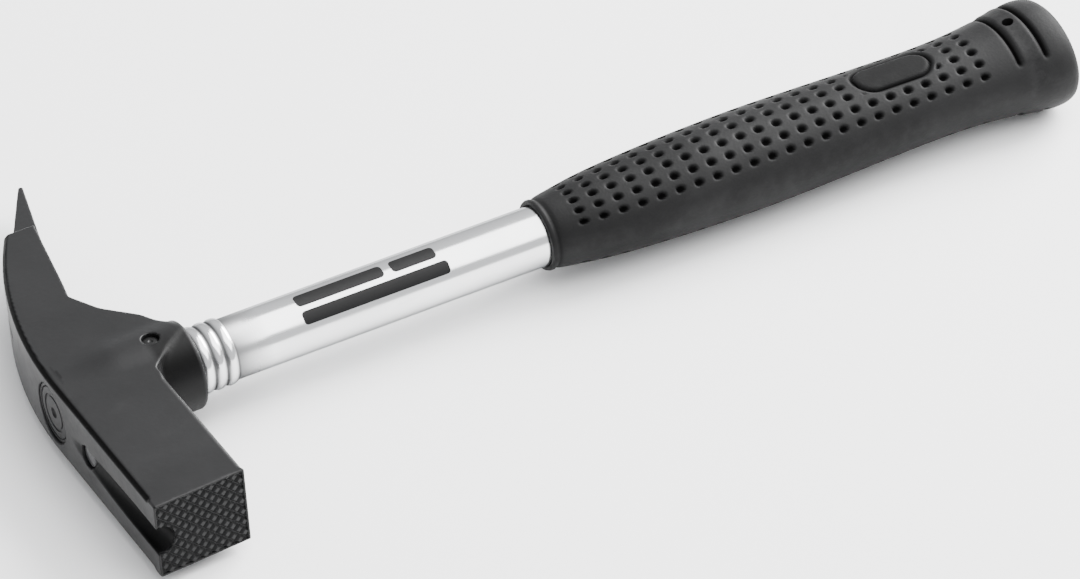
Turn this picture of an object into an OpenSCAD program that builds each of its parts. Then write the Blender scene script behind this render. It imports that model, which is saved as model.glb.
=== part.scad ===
// Roofing hammer with a tubular steel handle: a forged head with a milled face, a magnetic
// nail groove and a split claw, on a plugged tube with a moulded rubber grip.
// The origin is the centre of the striking face. +X runs along the handle to the grip,
// -Y is the striking side, and +Z is the upper cheek of the hammer lying on its side.

/* [Head] */
// Height of the striking face, along the handle
face_h = 28; // [26:1:32]
// Thickness of the head between its two cheeks
head_w = 24; // [22:1:26]
// Striking face to the axis of the handle
eye_y = 66; // [62:1:70]
// Striking face to the point of the spike
head_l = 178; // [170:1:186]
// Lean of the striking face towards the hand, in degrees
face_tilt = 4; // [0:1:5]
// Radius of the crown, the curved top behind the eye
crown_r = 150; // [140:5:170]
// Angle through which the crown curves down to the claw, in degrees
crown_sweep = 28; // [25:0.5:30]
// Chamfer along the edges of the crown
crown_chamfer = 1; // [0.6:0.1:2]
// Outer radius of the socket around the handle
socket_r = 13; // [12.5:0.5:14]
// Top of the head to the mouth of the socket
socket_depth = 42; // [40:1:46]

/* [Striking face] */
// Distance between the grooves of the milled face
mill_pitch = 2.5; // [2.2:0.1:3]
// Depth of the grooves of the milled face
mill_depth = 0.8; // [0.5:0.1:1]
// Width of the plain rim around the milled pattern
mill_rim = 1.3; // [1:0.1:2]

/* [Nail holder] */
// Radius of the nail groove in the crown
groove_r = 4.3; // [3.8:0.1:4.6]
// Depth of the nail groove at the face
groove_depth = 5.5; // [4.5:0.1:6]
// Length of the nail groove
groove_l = 47; // [42:1:50]
// Radius of the magnet at the back of the groove
magnet_r = 3.5; // [3:0.1:4]
// Thickness of the magnet
magnet_t = 5; // [3:0.5:6]

/* [Claw] */
// Striking face to the root of the claw
claw_root_y = 97.5; // [95:0.5:100]
// Striking face to the bottom of the slot between the tines
slot_y = 104; // [102:1:108]
// Striking face to the square end of the short tine
short_tine_y = 136; // [130:1:140]
// Thickness of the spike at its point
spike_tip = 1.3; // [1:0.1:2]

/* [Handle] */
// Outer radius of the tube
tube_r = 9; // [8.5:0.1:9.5]
// Wall thickness of the tube
tube_wall = 1.2; // [1:0.1:1.5]
// Length of bare tube between the socket and the grip
bare_tube_l = 110; // [100:1:120]
// Height of the three rolled beads above the tube
bead_h = 0.8; // [0.5:0.1:1]
// Distance between the beads
bead_pitch = 3.65; // [3.4:0.05:4]
// Radius of the cross pin through head and tube
pin_r = 2.5; // [2:0.1:3]

/* [Grip] */
// Length of the rubber grip
grip_l = 173; // [168:1:176]
// Radius of the hanging hole in the butt of the grip
hang_r = 1.75; // [1.5:0.05:2.5]
// Centre of the hanging hole from the butt end
hang_inset = 15; // [13:0.5:16]

/* [Hidden] */
$fn = 96;
// How far a cut starts outside the piece, and the length of a cut that passes right through
slack = 5;
through = 80;

// Along the handle
top_x = -face_h / 2;
under_x = face_h / 2;
socket_x = top_x + socket_depth;
grip_x = socket_x + bare_tube_l;
end_x = grip_x + grip_l;
tube_inset = 0.8;
tube_top_x = top_x + tube_inset;
tube_end_gap = 8;
tube_end_x = end_x - hang_inset - tube_end_gap;
pin_inset = 10.5;
pin_x = socket_x - pin_inset;
bore_r = tube_r - tube_wall;

// The crown: straight over the poll, then an arc, then straight to the point. The last length
// starts inside the arc, on its chord, so that the two overlap.
crown_y = eye_y - 3;
chord_step = 1;
claw_lean = crown_sweep - chord_step / 2;
function on_crown(turn) = [top_x + crown_r * (1 - cos(turn)), crown_y + crown_r * sin(turn)];
chord_start = on_crown(crown_sweep - chord_step);
spike_run = head_l - chord_start[1];
spike_x = chord_start[0] + spike_run * tan(claw_lean);
blank_reach = 46;

// The claw: the underside of the short tine at its root and at its end
short_under_x = 7.5;
short_end_x = 14.4;
slot_root_r = 1.2;

// The nail groove: the depth of its axis below the crown at each end
groove_back_depth = 0.3;
magnet_inset = 0.5;
magnet_sink = 0.9;
magnet_y = groove_l - magnet_r - magnet_inset;
magnet_x = top_x + magnet_sink;

// The pin's ends lie this far inside the socket's surface
pin_recess = 0.9;

// The two ends of the tube and the parts in them
eye_plug_recess = 2;
end_plug_l = 14;
end_cap_t = 2;

// The rolled beads
bead_count = 3;
bead_gap = 0.6;

// The printed bars on the tube, by angle from the striking side towards the upper cheek
film_t = 0.06;
label_x = socket_x + 33;
label_l = 46;
label_w = 4;
label_turn = 43;
label_gap_turn = 37;
short_label_w = 4.4;
short_labels = [[0, 27.5], [30, 14]];

// Half sizes of the grip: [distance from its mouth, half depth, half thickness]
grip_stations = [[0, 10.3, 10.2], [6, 11.6, 10.8], [18, 14.1, 11.8], [32, 15.6, 12.5], [50, 16.5, 13.2],
                 [71, 16.9, 13.5], [92, 16.4, 13.2], [111, 15.8, 12.8], [129, 15.5, 12.5],
                 [143, 16, 12.9], [157, 17.6, 14.2], [162, 18.6, 15], [167.5, 19, 15.3],
                 [171.5, 17.6, 14.1], [173, 14, 11.2]];
// Further rings on the rounded butt, from the mouth of the grip
butt_rings = [167.5, 169.5, 171.5, 172.5, 173];
grip_ring_step = 6;
grip_sides = 32;

// Section of the crown with its edges chamfered; the outer face lies on x = 0
module crown_section(c) {
    polygon([[-blank_reach, -head_w / 2], [-c, -head_w / 2], [0, c - head_w / 2],
             [0, head_w / 2 - c], [-c, head_w / 2], [-blank_reach, head_w / 2]]);
}

// A straight length of the crown, running towards +Y from the origin
module crown_bar(l, c) {
    rotate([90, 0, 180]) linear_extrude(height = l) crown_section(c);
}

// The forged bar: poll, arc over the eye, and claw
module blank() {
    translate([top_x, -slack, 0]) crown_bar(crown_y + slack, crown_chamfer);
    translate([top_x + crown_r, crown_y, 0]) rotate([0, 0, 180 - crown_sweep])
        rotate_extrude(angle = crown_sweep, $fn = 180) translate([crown_r, 0]) crown_section(crown_chamfer);
    translate([chord_start[0], chord_start[1], 0]) rotate([0, 0, -claw_lean])
        crown_bar(spike_run / cos(claw_lean) + slack, crown_chamfer);
}

// Side view of the head: the tilted face, the underside of the poll, the web and the spike
module side_view() {
    lean = tan(face_tilt);
    linear_extrude(height = head_w + 2, center = true)
        polygon([[top_x - slack, (top_x - slack) * lean], [under_x, under_x * lean],
                 [under_x, eye_y - 11], [under_x + 6, eye_y - 5], [socket_x - 1.7, eye_y],
                 [socket_x - 2.8, eye_y + 4.5], [socket_x - 7.2, eye_y + 13],
                 [under_x - 1.7, eye_y + 22.2], [short_under_x, claw_root_y],
                 [spike_x + spike_tip, head_l], [spike_x - through / 2, head_l]]);
}

// Everything that is cut from the claw, seen from above the crown
module claw_cuts() {
    half = head_w / 2;
    translate([top_x, 0, 0]) rotate([0, 90, 0]) rotate([0, 0, 90]) linear_extrude(height = through) {
        // the slot, and the space beyond the short tine
        polygon([[slot_y, -slot_root_r], [head_l + slack, -7.2], [head_l + slack, half + slack],
                 [short_tine_y, half + slack], [short_tine_y, 4.6], [slot_y, slot_root_r]]);
        translate([slot_y, 0]) circle(r = slot_root_r);
        // the outer sides of the spike and of the short tine
        polygon([[slot_y - 2.25, -half - 1], [head_l + slack, -8], [head_l + slack, -half - slack],
                 [slot_y - 2.25, -half - slack]]);
        polygon([[slot_y - 20, half + 0.875], [short_tine_y, half - 1.4], [short_tine_y, half + slack],
                 [slot_y - 20, half + slack]]);
    }
    // the underside of the short tine is higher than that of the spike
    linear_extrude(height = half + slack)
        polygon([[short_under_x, claw_root_y], [short_end_x, short_tine_y], [short_end_x, head_l],
                 [through / 2, head_l], [through / 2, claw_root_y]]);
}

// The barrel of the socket, blended into the cheeks, with a chamfered mouth
module socket() {
    mouth = 1.2;
    blend = [-4, 6];
    sink = 0.2;
    translate([0, eye_y, 0]) rotate([0, 90, 0]) {
        translate([0, 0, blend[0]])
            cylinder(h = blend[1] - blend[0], r1 = head_w / 2 - sink, r2 = socket_r);
        translate([0, 0, blend[1]]) cylinder(h = socket_x - mouth - blend[1], r = socket_r);
        translate([0, 0, socket_x - mouth]) cylinder(h = mouth, r1 = socket_r, r2 = socket_r - mouth);
    }
}

// The nail groove: a tilted round channel that runs out on the crown
module nail_groove() {
    drop = groove_depth - groove_back_depth;
    lean = atan(drop / groove_l);
    translate([top_x + groove_depth - groove_r, 0, 0]) rotate([-90, 0, 0]) rotate([0, -lean, 0])
        translate([0, 0, -slack]) cylinder(h = groove_l + 4 * slack, r = groove_r);
}

// The milled pattern: V grooves along both diagonals of the face, with a tooth at its centre
// and a plain rim
module milling() {
    side = mill_depth * sqrt(2);
    reach = ceil((face_h + head_w) / 2 / sqrt(2) / mill_pitch);
    rotate([0, 0, face_tilt]) intersection() {
        for (turn = [-45, 45], k = [-reach : reach - 1])
            rotate([0, turn, 0]) translate([(k + 0.5) * mill_pitch, 0, 0]) rotate([0, 0, 45])
                cube([side, side, 2 * face_h], center = true);
        cube([face_h - 2 * mill_rim, slack, head_w - 2 * mill_rim], center = true);
    }
}

// The drilled hole for the cross pin
module pin_hole() {
    translate([pin_x, eye_y, -through / 2]) cylinder(h = through, r = pin_r);
}

// A cylinder along the handle, from one distance to another
module along_handle(from_x, to_x, r) {
    translate([from_x, eye_y, 0]) rotate([0, 90, 0]) cylinder(h = to_x - from_x, r = r);
}

module head() {
    color("#2c2c2e") difference() {
        union() {
            difference() {
                intersection() {
                    blank();
                    side_view();
                }
                claw_cuts();
            }
            socket();
        }
        along_handle(top_x - slack, socket_x + slack, tube_r);
        pin_hole();
        nail_groove();
        translate([top_x - slack, magnet_y, 0]) rotate([0, 90, 0])
            cylinder(h = slack + magnet_x - top_x + magnet_t, r = magnet_r);
        milling();
    }
}

module nail_magnet() {
    color("#8d8f92") translate([magnet_x, magnet_y, 0]) rotate([0, 90, 0])
        cylinder(h = magnet_t, r = magnet_r);
}

module handle_tube() {
    // the circle whose cap stands bead_h proud of the tube over half a pitch
    half = bead_pitch / 2;
    bead_r = (half * half + bead_h * bead_h) / (2 * bead_h);
    color("#d9dadc") difference() {
        union() {
            along_handle(tube_top_x, tube_end_x, tube_r);
            translate([socket_x + bead_gap, eye_y, 0]) rotate([0, 90, 0])
                for (k = [0 : bead_count - 1])
                    translate([0, 0, (k + 0.5) * bead_pitch]) rotate_extrude()
                        intersection() {
                            translate([tube_r + bead_h - bead_r, 0]) circle(r = bead_r);
                            translate([bore_r, -half]) square([tube_wall + 2 * bead_h, 2 * half]);
                        }
        }
        along_handle(tube_top_x - slack, tube_end_x + slack, bore_r);
        pin_hole();
    }
}

module eye_plug() {
    color("#6f7174") difference() {
        along_handle(tube_top_x, socket_x - eye_plug_recess, bore_r);
        pin_hole();
    }
}

module cross_pin() {
    half = socket_r - pin_recess;
    color("#3a3a3c") translate([pin_x, eye_y, -half]) cylinder(h = 2 * half, r = pin_r);
}

// Value of one column of the grip stations at a distance from the mouth, on a smooth curve
function slope(t, i, c) =
    i == 0 || i == len(t) - 1 ? 0 : (t[i + 1][c] - t[i - 1][c]) / (t[i + 1][0] - t[i - 1][0]);
function segment(t, x, i = 0) = i >= len(t) - 2 || x < t[i + 1][0] ? i : segment(t, x, i + 1);
function smooth(t, x, c) =
    let(i = segment(t, x), w = t[i + 1][0] - t[i][0], s = (x - t[i][0]) / w)
    t[i][c] * (2 * s + 1) * (s - 1) * (s - 1) + t[i + 1][c] * s * s * (3 - 2 * s)
    + w * (slope(t, i, c) * s * (s - 1) * (s - 1) + slope(t, i + 1, c) * s * s * (s - 1));

// The outside of the grip: oval rings along its length, closed at both ends
module grip_body() {
    n = grip_sides;
    stretch = grip_l / grip_stations[len(grip_stations) - 1][0];
    rings = concat([for (x = [0 : grip_ring_step : butt_rings[0] - 1]) x], butt_rings);
    m = len(rings);
    points = [for (x = rings, k = [0 : n - 1])
                 [x * stretch, smooth(grip_stations, x, 1) * cos(360 * k / n),
                  smooth(grip_stations, x, 2) * sin(360 * k / n)]];
    sides = [for (i = [0 : m - 2], k = [0 : n - 1])
                 [i * n + k, i * n + (k + 1) % n, (i + 1) * n + (k + 1) % n, (i + 1) * n + k]];
    ends = [[for (k = [n - 1 : -1 : 0]) k], [for (k = [0 : n - 1]) (m - 1) * n + k]];
    polyhedron(points = points, faces = concat(sides, ends));
}

module grip_sleeve() {
    color("#2e2e30") difference() {
        translate([grip_x, eye_y, 0]) grip_body();
        along_handle(grip_x - slack, tube_end_x + end_cap_t, tube_r);
        translate([end_x - hang_inset, eye_y, -through / 2]) cylinder(h = through, r = hang_r);
    }
}

module tube_end_plug() {
    color("#4a4a4c") union() {
        along_handle(tube_end_x - end_plug_l, tube_end_x, bore_r);
        along_handle(tube_end_x, tube_end_x + end_cap_t, tube_r);
    }
}

// One printed bar on the tube: its start, its length, its width and its place around the tube
module printed_bar(x, l, w, turn) {
    sweep = w / tube_r * 180 / PI;
    translate([x, eye_y, 0]) rotate([0, 90, 0]) rotate([0, 0, -90 - turn - sweep / 2])
        rotate_extrude(angle = sweep) translate([tube_r, 0]) square([film_t, l]);
}

module tube_label() {
    color("#1d1d1f") {
        printed_bar(label_x, label_l, label_w, label_turn);
        for (bar = short_labels)
            printed_bar(label_x + bar[0], bar[1], short_label_w, label_turn + label_gap_turn);
    }
}

head();
nail_magnet();
handle_tube();
eye_plug();
cross_pin();
grip_sleeve();
tube_end_plug();
tube_label();
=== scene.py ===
"""Roofing hammer with a tubular steel handle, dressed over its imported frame.

The forged head, the rolled tube and the moulded grip are each a class that holds its own
sizes, in millimetres, and builds its own meshes. Places along the hammer come from the frame.
"""

import logging
import math
from dataclasses import dataclass, field
from enum import Enum
from typing import Any, Sequence

import bmesh
import bpy
import numpy as np
from mathutils import Matrix, Vector


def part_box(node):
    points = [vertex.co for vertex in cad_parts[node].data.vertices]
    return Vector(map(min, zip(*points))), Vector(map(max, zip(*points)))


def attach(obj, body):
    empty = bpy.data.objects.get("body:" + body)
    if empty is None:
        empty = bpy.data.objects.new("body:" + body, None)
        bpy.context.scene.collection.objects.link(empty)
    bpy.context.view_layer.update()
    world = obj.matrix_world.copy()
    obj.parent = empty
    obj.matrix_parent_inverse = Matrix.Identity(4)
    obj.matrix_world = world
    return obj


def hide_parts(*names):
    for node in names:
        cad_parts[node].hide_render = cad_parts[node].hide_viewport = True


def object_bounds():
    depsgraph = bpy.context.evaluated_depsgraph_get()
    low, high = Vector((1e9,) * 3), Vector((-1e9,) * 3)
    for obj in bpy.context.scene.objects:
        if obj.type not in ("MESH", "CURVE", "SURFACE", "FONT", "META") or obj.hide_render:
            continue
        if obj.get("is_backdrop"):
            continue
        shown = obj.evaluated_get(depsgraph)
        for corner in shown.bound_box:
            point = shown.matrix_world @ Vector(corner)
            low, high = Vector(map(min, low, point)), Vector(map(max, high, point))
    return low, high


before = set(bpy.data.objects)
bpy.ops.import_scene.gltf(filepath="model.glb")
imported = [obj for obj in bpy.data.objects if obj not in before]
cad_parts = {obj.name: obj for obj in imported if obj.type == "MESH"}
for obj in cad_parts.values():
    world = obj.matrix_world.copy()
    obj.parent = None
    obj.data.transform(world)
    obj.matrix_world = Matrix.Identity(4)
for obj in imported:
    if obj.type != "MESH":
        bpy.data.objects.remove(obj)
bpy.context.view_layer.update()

MM = 0.001
BODY = "root"
LOG = logging.getLogger("hammer")

Array = np.ndarray
Socket = Any


def node_box(node: str) -> tuple[Array, Array]:
    """Lowest and highest corner of a frame node, in millimetres."""
    low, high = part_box(node)
    return np.array(low) / MM, np.array(high) / MM


def middle_and_half(box: tuple[Array, Array], axis: int) -> tuple[float, float]:
    """Middle and half size of a box along one axis."""
    return float(box[0][axis] + box[1][axis]) / 2.0, float(box[1][axis] - box[0][axis]) / 2.0


# ---------------------------------------------------------------- node trees


class Graph:
    """A shader or geometry node tree that is being built."""

    def __init__(self, tree: bpy.types.NodeTree) -> None:
        """Keeps the tree."""
        self.tree = tree

    def add(self, kind: str, inputs: dict[Any, Any] | None = None, **settings: Any) -> bpy.types.Node:
        """Adds a node.

        Args:
            kind: the node's type name.
            inputs: a value or a socket for each input that isn't left alone.
            settings: the node's own properties.

        Returns:
            The new node.
        """
        node = self.tree.nodes.new(kind)
        for name, value in settings.items():
            setattr(node, name, value)
        for name, value in (inputs or {}).items():
            self.feed(node.inputs[name], value)
        return node

    def feed(self, socket: Socket, value: Any) -> None:
        """Links a socket, or sets a plain value, into an input.

        Args:
            socket: the input.
            value: a socket to link, or a plain value.
        """
        if isinstance(value, bpy.types.NodeSocket):
            self.tree.links.new(value, socket)
        else:
            socket.default_value = value

    def math(self, operation: str, *values: Any, clamp: bool = False) -> Socket:
        """One math node on up to three numbers or sockets; returns its output."""
        node = self.add("ShaderNodeMath", dict(enumerate(values)), operation=operation, use_clamp=clamp)
        return node.outputs[0]

    def span(self, value: Any, low: float, high: float, to_low: float = 0.0, to_high: float = 1.0) -> Socket:
        """A smooth step of value from low to high, put out between two other numbers.

        Args:
            value: what is read.
            low: where the step starts.
            high: where it ends.
            to_low: what is put out below it.
            to_high: what is put out above it.

        Returns:
            The stepped value.
        """
        node = self.add("ShaderNodeMapRange", interpolation_type="SMOOTHSTEP")
        for place, number in enumerate((value, low, high, to_low, to_high)):
            self.feed(node.inputs[place], number)
        return node.outputs[0]

    def blend(self, factor: Any, first: Any, second: Any) -> Socket:
        """Mixes two colours by a factor.

        Args:
            factor: the share of the second colour.
            first: the first colour.
            second: the second colour.

        Returns:
            The mixed colour.
        """
        node = self.add("ShaderNodeMix", data_type="RGBA")
        for place, value in ((0, factor), (6, first), (7, second)):
            self.feed(node.inputs[place], rgba(value) if isinstance(value, tuple) else value)
        return node.outputs[2]


def rgba(colour: Sequence[float]) -> tuple[float, float, float, float]:
    """A colour with full alpha."""
    return (colour[0], colour[1], colour[2], 1.0)


def shader_group(name: str, inputs: dict[str, float | None],
                 outputs: Sequence[str]) -> tuple[Graph, Any, Any]:
    """Starts a shader node group.

    Args:
        name: the group's name.
        inputs: each input and its default; None makes a vector input.
        outputs: the names of its number outputs.

    Returns:
        The graph, its input node and its output node.
    """
    tree = bpy.data.node_groups.new(name, "ShaderNodeTree")
    for label, default in inputs.items():
        kind = "NodeSocketVector" if default is None else "NodeSocketFloat"
        socket = tree.interface.new_socket(label, in_out="INPUT", socket_type=kind)
        if default is not None:
            socket.default_value = default
    for label in outputs:
        tree.interface.new_socket(label, in_out="OUTPUT", socket_type="NodeSocketFloat")
    graph = Graph(tree)
    return graph, graph.add("NodeGroupInput"), graph.add("NodeGroupOutput")


def build_surface_grain() -> bpy.types.NodeTree:
    """A fine two-scale grain: Height for a bump and Mask for colour, around one half.

    Returns:
        The node group.
    """
    graph, start, end = shader_group("surface_grain", {"Vector": None, "Scale": 800.0, "Detail": 4.0},
                                     ("Height", "Mask"))
    place = start.outputs["Vector"]
    scale = start.outputs["Scale"]
    fine = graph.add("ShaderNodeTexNoise", {"Vector": place, "Scale": scale,
                                            "Detail": start.outputs["Detail"], "Roughness": 0.6})
    pits = graph.add("ShaderNodeTexVoronoi", {"Vector": place, "Scale": graph.math("MULTIPLY", scale, 0.8)},
                     feature="SMOOTH_F1")
    broad = graph.add("ShaderNodeTexNoise", {"Vector": place, "Scale": graph.math("MULTIPLY", scale, 0.12),
                                             "Detail": 3.0})
    cells = graph.math("MULTIPLY", pits.outputs["Distance"], 0.45)
    graph.feed(end.inputs["Height"], graph.math("MULTIPLY_ADD", fine.outputs[0], 0.6, cells))
    graph.feed(end.inputs["Mask"], graph.math("MULTIPLY_ADD", broad.outputs[0], 0.7,
                                              graph.math("MULTIPLY", fine.outputs[0], 0.3)))
    return graph.tree


def build_edge_wear() -> bpy.types.NodeTree:
    """Rubbed edges: a mask where the piece's edge attribute is high, broken up by noise.

    Returns:
        The node group.
    """
    inputs = {"Vector": None, "Edge": 0.0, "Scale": 300.0, "Amount": 0.5}
    graph, start, end = shader_group("edge_wear", inputs, ("Mask",))
    noise = graph.add("ShaderNodeTexNoise", {"Vector": start.outputs["Vector"],
                                             "Scale": start.outputs["Scale"],
                                             "Detail": 6.0, "Roughness": 0.65})
    worn = graph.math("MULTIPLY", start.outputs["Edge"], graph.span(noise.outputs[0], 0.42, 0.62))
    graph.feed(end.inputs["Mask"], graph.math("MULTIPLY", worn, start.outputs["Amount"], clamp=True))
    return graph.tree


def build_handling_marks() -> bpy.types.NodeTree:
    """Broad smudges and a few fine rubs, as a mask for roughness and colour.

    Returns:
        The node group.
    """
    inputs = {"Vector": None, "Scale": 40.0, "Stretch": 6.0}
    graph, start, end = shader_group("handling_marks", inputs, ("Mask",))
    cloud = graph.add("ShaderNodeTexNoise", {"Vector": start.outputs["Vector"],
                                             "Scale": start.outputs["Scale"],
                                             "Detail": 5.0, "Distortion": 0.6})
    squeeze = graph.add("ShaderNodeVectorMath", {0: start.outputs["Vector"]}, operation="MULTIPLY")
    across = graph.add("ShaderNodeCombineXYZ", {"X": 1.0, "Y": start.outputs["Stretch"],
                                                "Z": start.outputs["Stretch"]})
    graph.feed(squeeze.inputs[1], across.outputs[0])
    rubs = graph.add("ShaderNodeTexNoise", {"Vector": squeeze.outputs[0],
                                            "Scale": graph.math("MULTIPLY", start.outputs["Scale"], 2.5),
                                            "Detail": 3.0})
    clouds = graph.span(cloud.outputs[0], 0.38, 0.68)
    lines = graph.span(rubs.outputs[0], 0.55, 0.75)
    both = graph.math("MULTIPLY_ADD", lines, 0.4, graph.math("MULTIPLY", clouds, 0.6))
    graph.feed(end.inputs["Mask"], both)
    return graph.tree


class Effects:
    """The shader groups that more than one finish uses, each built once."""

    def __init__(self) -> None:
        """Builds the groups."""
        self.grain = build_surface_grain()
        self.wear = build_edge_wear()
        self.marks = build_handling_marks()

    @staticmethod
    def place(graph: Graph, group: bpy.types.NodeTree, **inputs: Any) -> bpy.types.Node:
        """Puts a group into a material with its own values.

        Args:
            graph: the material's graph.
            group: the group to use.
            inputs: a value for each named input.

        Returns:
            The node that stands for the group.
        """
        node = graph.add("ShaderNodeGroup")
        node.node_tree = group
        for name, value in inputs.items():
            graph.feed(node.inputs[name], value)
        return node


# ---------------------------------------------------------------- finishes


@dataclass(frozen=True)
class Finish:
    """What every finish has: its colour, gloss and the depth of its grain."""

    name: str
    slot: str
    colour: tuple[float, float, float]
    roughness: float
    metallic: float = 0.0
    grain_scale: float = 900.0
    grain_depth: float = 0.03
    coat: float = 0.0
    sheen: float = 0.0
    gloss: float = 0.5

    def start(self) -> tuple[bpy.types.Material, Graph, bpy.types.Node, Socket]:
        """Makes the material with its plain values set.

        Returns:
            The material, its graph, its Principled shader and its object coordinates.
        """
        material = bpy.data.materials.new(self.name)
        material.use_nodes = True
        material.diffuse_color = rgba(self.colour)
        graph = Graph(material.node_tree)
        shader = material.node_tree.nodes["Principled BSDF"]
        graph.feed(shader.inputs["Base Color"], rgba(self.colour))
        graph.feed(shader.inputs["Metallic"], self.metallic)
        graph.feed(shader.inputs["Roughness"], self.roughness)
        graph.feed(shader.inputs["Coat Weight"], self.coat)
        graph.feed(shader.inputs["Coat Roughness"], 0.12)
        graph.feed(shader.inputs["Sheen Weight"], self.sheen)
        graph.feed(shader.inputs["Sheen Roughness"], 0.6)
        graph.feed(shader.inputs["Specular IOR Level"], self.gloss)
        return material, graph, shader, graph.add("ShaderNodeTexCoord").outputs["Object"]

    def bump(self, graph: Graph, shader: bpy.types.Node, height: Socket, reach: float = 0.0002) -> None:
        """Feeds a height into the shader's normal."""
        bump = graph.add("ShaderNodeBump", {"Height": height, "Strength": self.grain_depth,
                                            "Distance": reach})
        graph.feed(shader.inputs["Normal"], bump.outputs[0])

    def dull_painted_shade(self, graph: Graph, shader: bpy.types.Node) -> Socket:
        """Takes the gloss out where the painted shade lies.

        Returns:
            How strongly each place is painted in shade, from 0 to 1.

        Args:
            graph: the material's graph.
            shader: the shader whose gloss is taken down.
        """
        cavity = graph.add("ShaderNodeAttribute", attribute_name="cavity").outputs["Fac"]
        graph.feed(shader.inputs["Specular IOR Level"],
                   graph.math("MULTIPLY_ADD", cavity, -0.85 * self.gloss, self.gloss))
        return cavity


@dataclass(frozen=True)
class BlackCoating(Finish):
    """The semi-gloss black coating of a forging, rubbed to grey along its edges, and painted near-black where
    shade is painted on it.
    """

    worn_colour: tuple[float, float, float] = (0.16, 0.16, 0.165)
    # colour of the painted shade
    painted_shade_colour: tuple[float, float, float] = (0.002, 0.002, 0.002)
    wear: float = 0.5
    wear_scale: float = 420.0
    marks_scale: float = 45.0

    def material(self, effects: Effects) -> bpy.types.Material:
        """Builds the coating.

        Args:
            effects: the shared node groups.

        Returns:
            The material.
        """
        material, graph, shader, place = self.start()
        edge = graph.add("ShaderNodeAttribute", attribute_name="edge").outputs["Fac"]
        grain = effects.place(graph, effects.grain, Vector=place, Scale=self.grain_scale)
        wear = effects.place(graph, effects.wear, Vector=place, Edge=edge, Scale=self.wear_scale,
                             Amount=self.wear)
        marks = effects.place(graph, effects.marks, Vector=place, Scale=self.marks_scale, Stretch=1.5)
        dark = tuple(0.78 * value for value in self.colour)
        light = tuple(1.35 * value for value in self.colour)
        coating = graph.blend(grain.outputs["Mask"], dark, light)
        rubbed = graph.blend(wear.outputs["Mask"], coating, self.worn_colour)
        # painted shade: the coating is darkened to near-black and its gloss taken down where the painted
        # shade mask lies
        cavity = self.dull_painted_shade(graph, shader)
        graph.feed(shader.inputs["Base Color"], graph.blend(cavity, rubbed, self.painted_shade_colour))
        smeared = graph.math("MULTIPLY_ADD", marks.outputs["Mask"], 0.1, self.roughness - 0.04)
        graph.feed(shader.inputs["Roughness"], graph.math("MULTIPLY_ADD", wear.outputs["Mask"], 0.1, smeared))
        self.bump(graph, shader, grain.outputs["Height"])
        return material


@dataclass(frozen=True)
class ChromePlate(Finish):
    """Bright chrome on drawn tube, with faint lines along it, wiped smudges and painted shade in its creases.
    """

    rim_tint: tuple[float, float, float] = (0.3, 0.305, 0.31)
    # colour of the painted shade in the creases between the beads
    crease_shade_colour: tuple[float, float, float] = (0.03, 0.03, 0.031)

    def material(self, effects: Effects) -> bpy.types.Material:
        """Builds the plating.

        Args:
            effects: the shared node groups.

        Returns:
            The material.
        """
        material, graph, shader, place = self.start()
        marks = effects.place(graph, effects.marks, Vector=place, Scale=28.0, Stretch=9.0)
        drawn = graph.add("ShaderNodeMapping", {"Vector": place, "Scale": (0.04, 1.0, 1.0)})
        lines = effects.place(graph, effects.grain, Vector=drawn.outputs[0], Scale=self.grain_scale)
        dull = tuple(0.86 * value for value in self.colour)
        wiped = graph.blend(marks.outputs["Mask"], self.colour, dull)
        # painted shade: the creases between the beads are darkened towards near-black
        crease = graph.add("ShaderNodeAttribute", attribute_name="cavity").outputs["Fac"]
        graph.feed(shader.inputs["Base Color"], graph.blend(crease, wiped, self.crease_shade_colour))
        graph.feed(shader.inputs["Specular Tint"], rgba(self.rim_tint))
        smeared = graph.math("MULTIPLY_ADD", marks.outputs["Mask"], 0.12, self.roughness)
        graph.feed(shader.inputs["Roughness"], graph.math("MULTIPLY_ADD", crease, 0.3, smeared))
        self.bump(graph, shader, lines.outputs["Height"], 0.00005)
        return material


@dataclass(frozen=True)
class TurnedSteel(Finish):
    """Machined steel: fine rings about an axis that runs along the handle or across it."""

    centre: tuple[float, float, float] = (0.0, 0.0, 0.0)
    ring_pitch: float = 0.35

    def material(self, effects: Effects) -> bpy.types.Material:
        """Builds the turned face.

        Args:
            effects: the shared node groups.

        Returns:
            The material.
        """
        material, graph, shader, place = self.start()
        shift = tuple(-distance for distance in self.centre)
        centred = graph.add("ShaderNodeMapping", {"Vector": place, "Location": shift})
        measure = graph.add("ShaderNodeVectorMath", {0: centred.outputs[0]}, operation="LENGTH")
        length = measure.outputs["Value"]
        turns = graph.math("SINE", graph.math("MULTIPLY", length, 2.0 * math.pi / (self.ring_pitch * MM)))
        grain = effects.place(graph, effects.grain, Vector=place, Scale=self.grain_scale)
        dark = tuple(0.7 * value for value in self.colour)
        graph.feed(shader.inputs["Base Color"], graph.blend(grain.outputs["Mask"], dark, self.colour))
        graph.feed(shader.inputs["Roughness"],
                   graph.math("MULTIPLY_ADD", grain.outputs["Mask"], 0.2, self.roughness - 0.1))
        height = graph.math("MULTIPLY_ADD", turns, 0.3, grain.outputs["Height"])
        self.bump(graph, shader, height, 0.0001)
        return material


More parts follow.
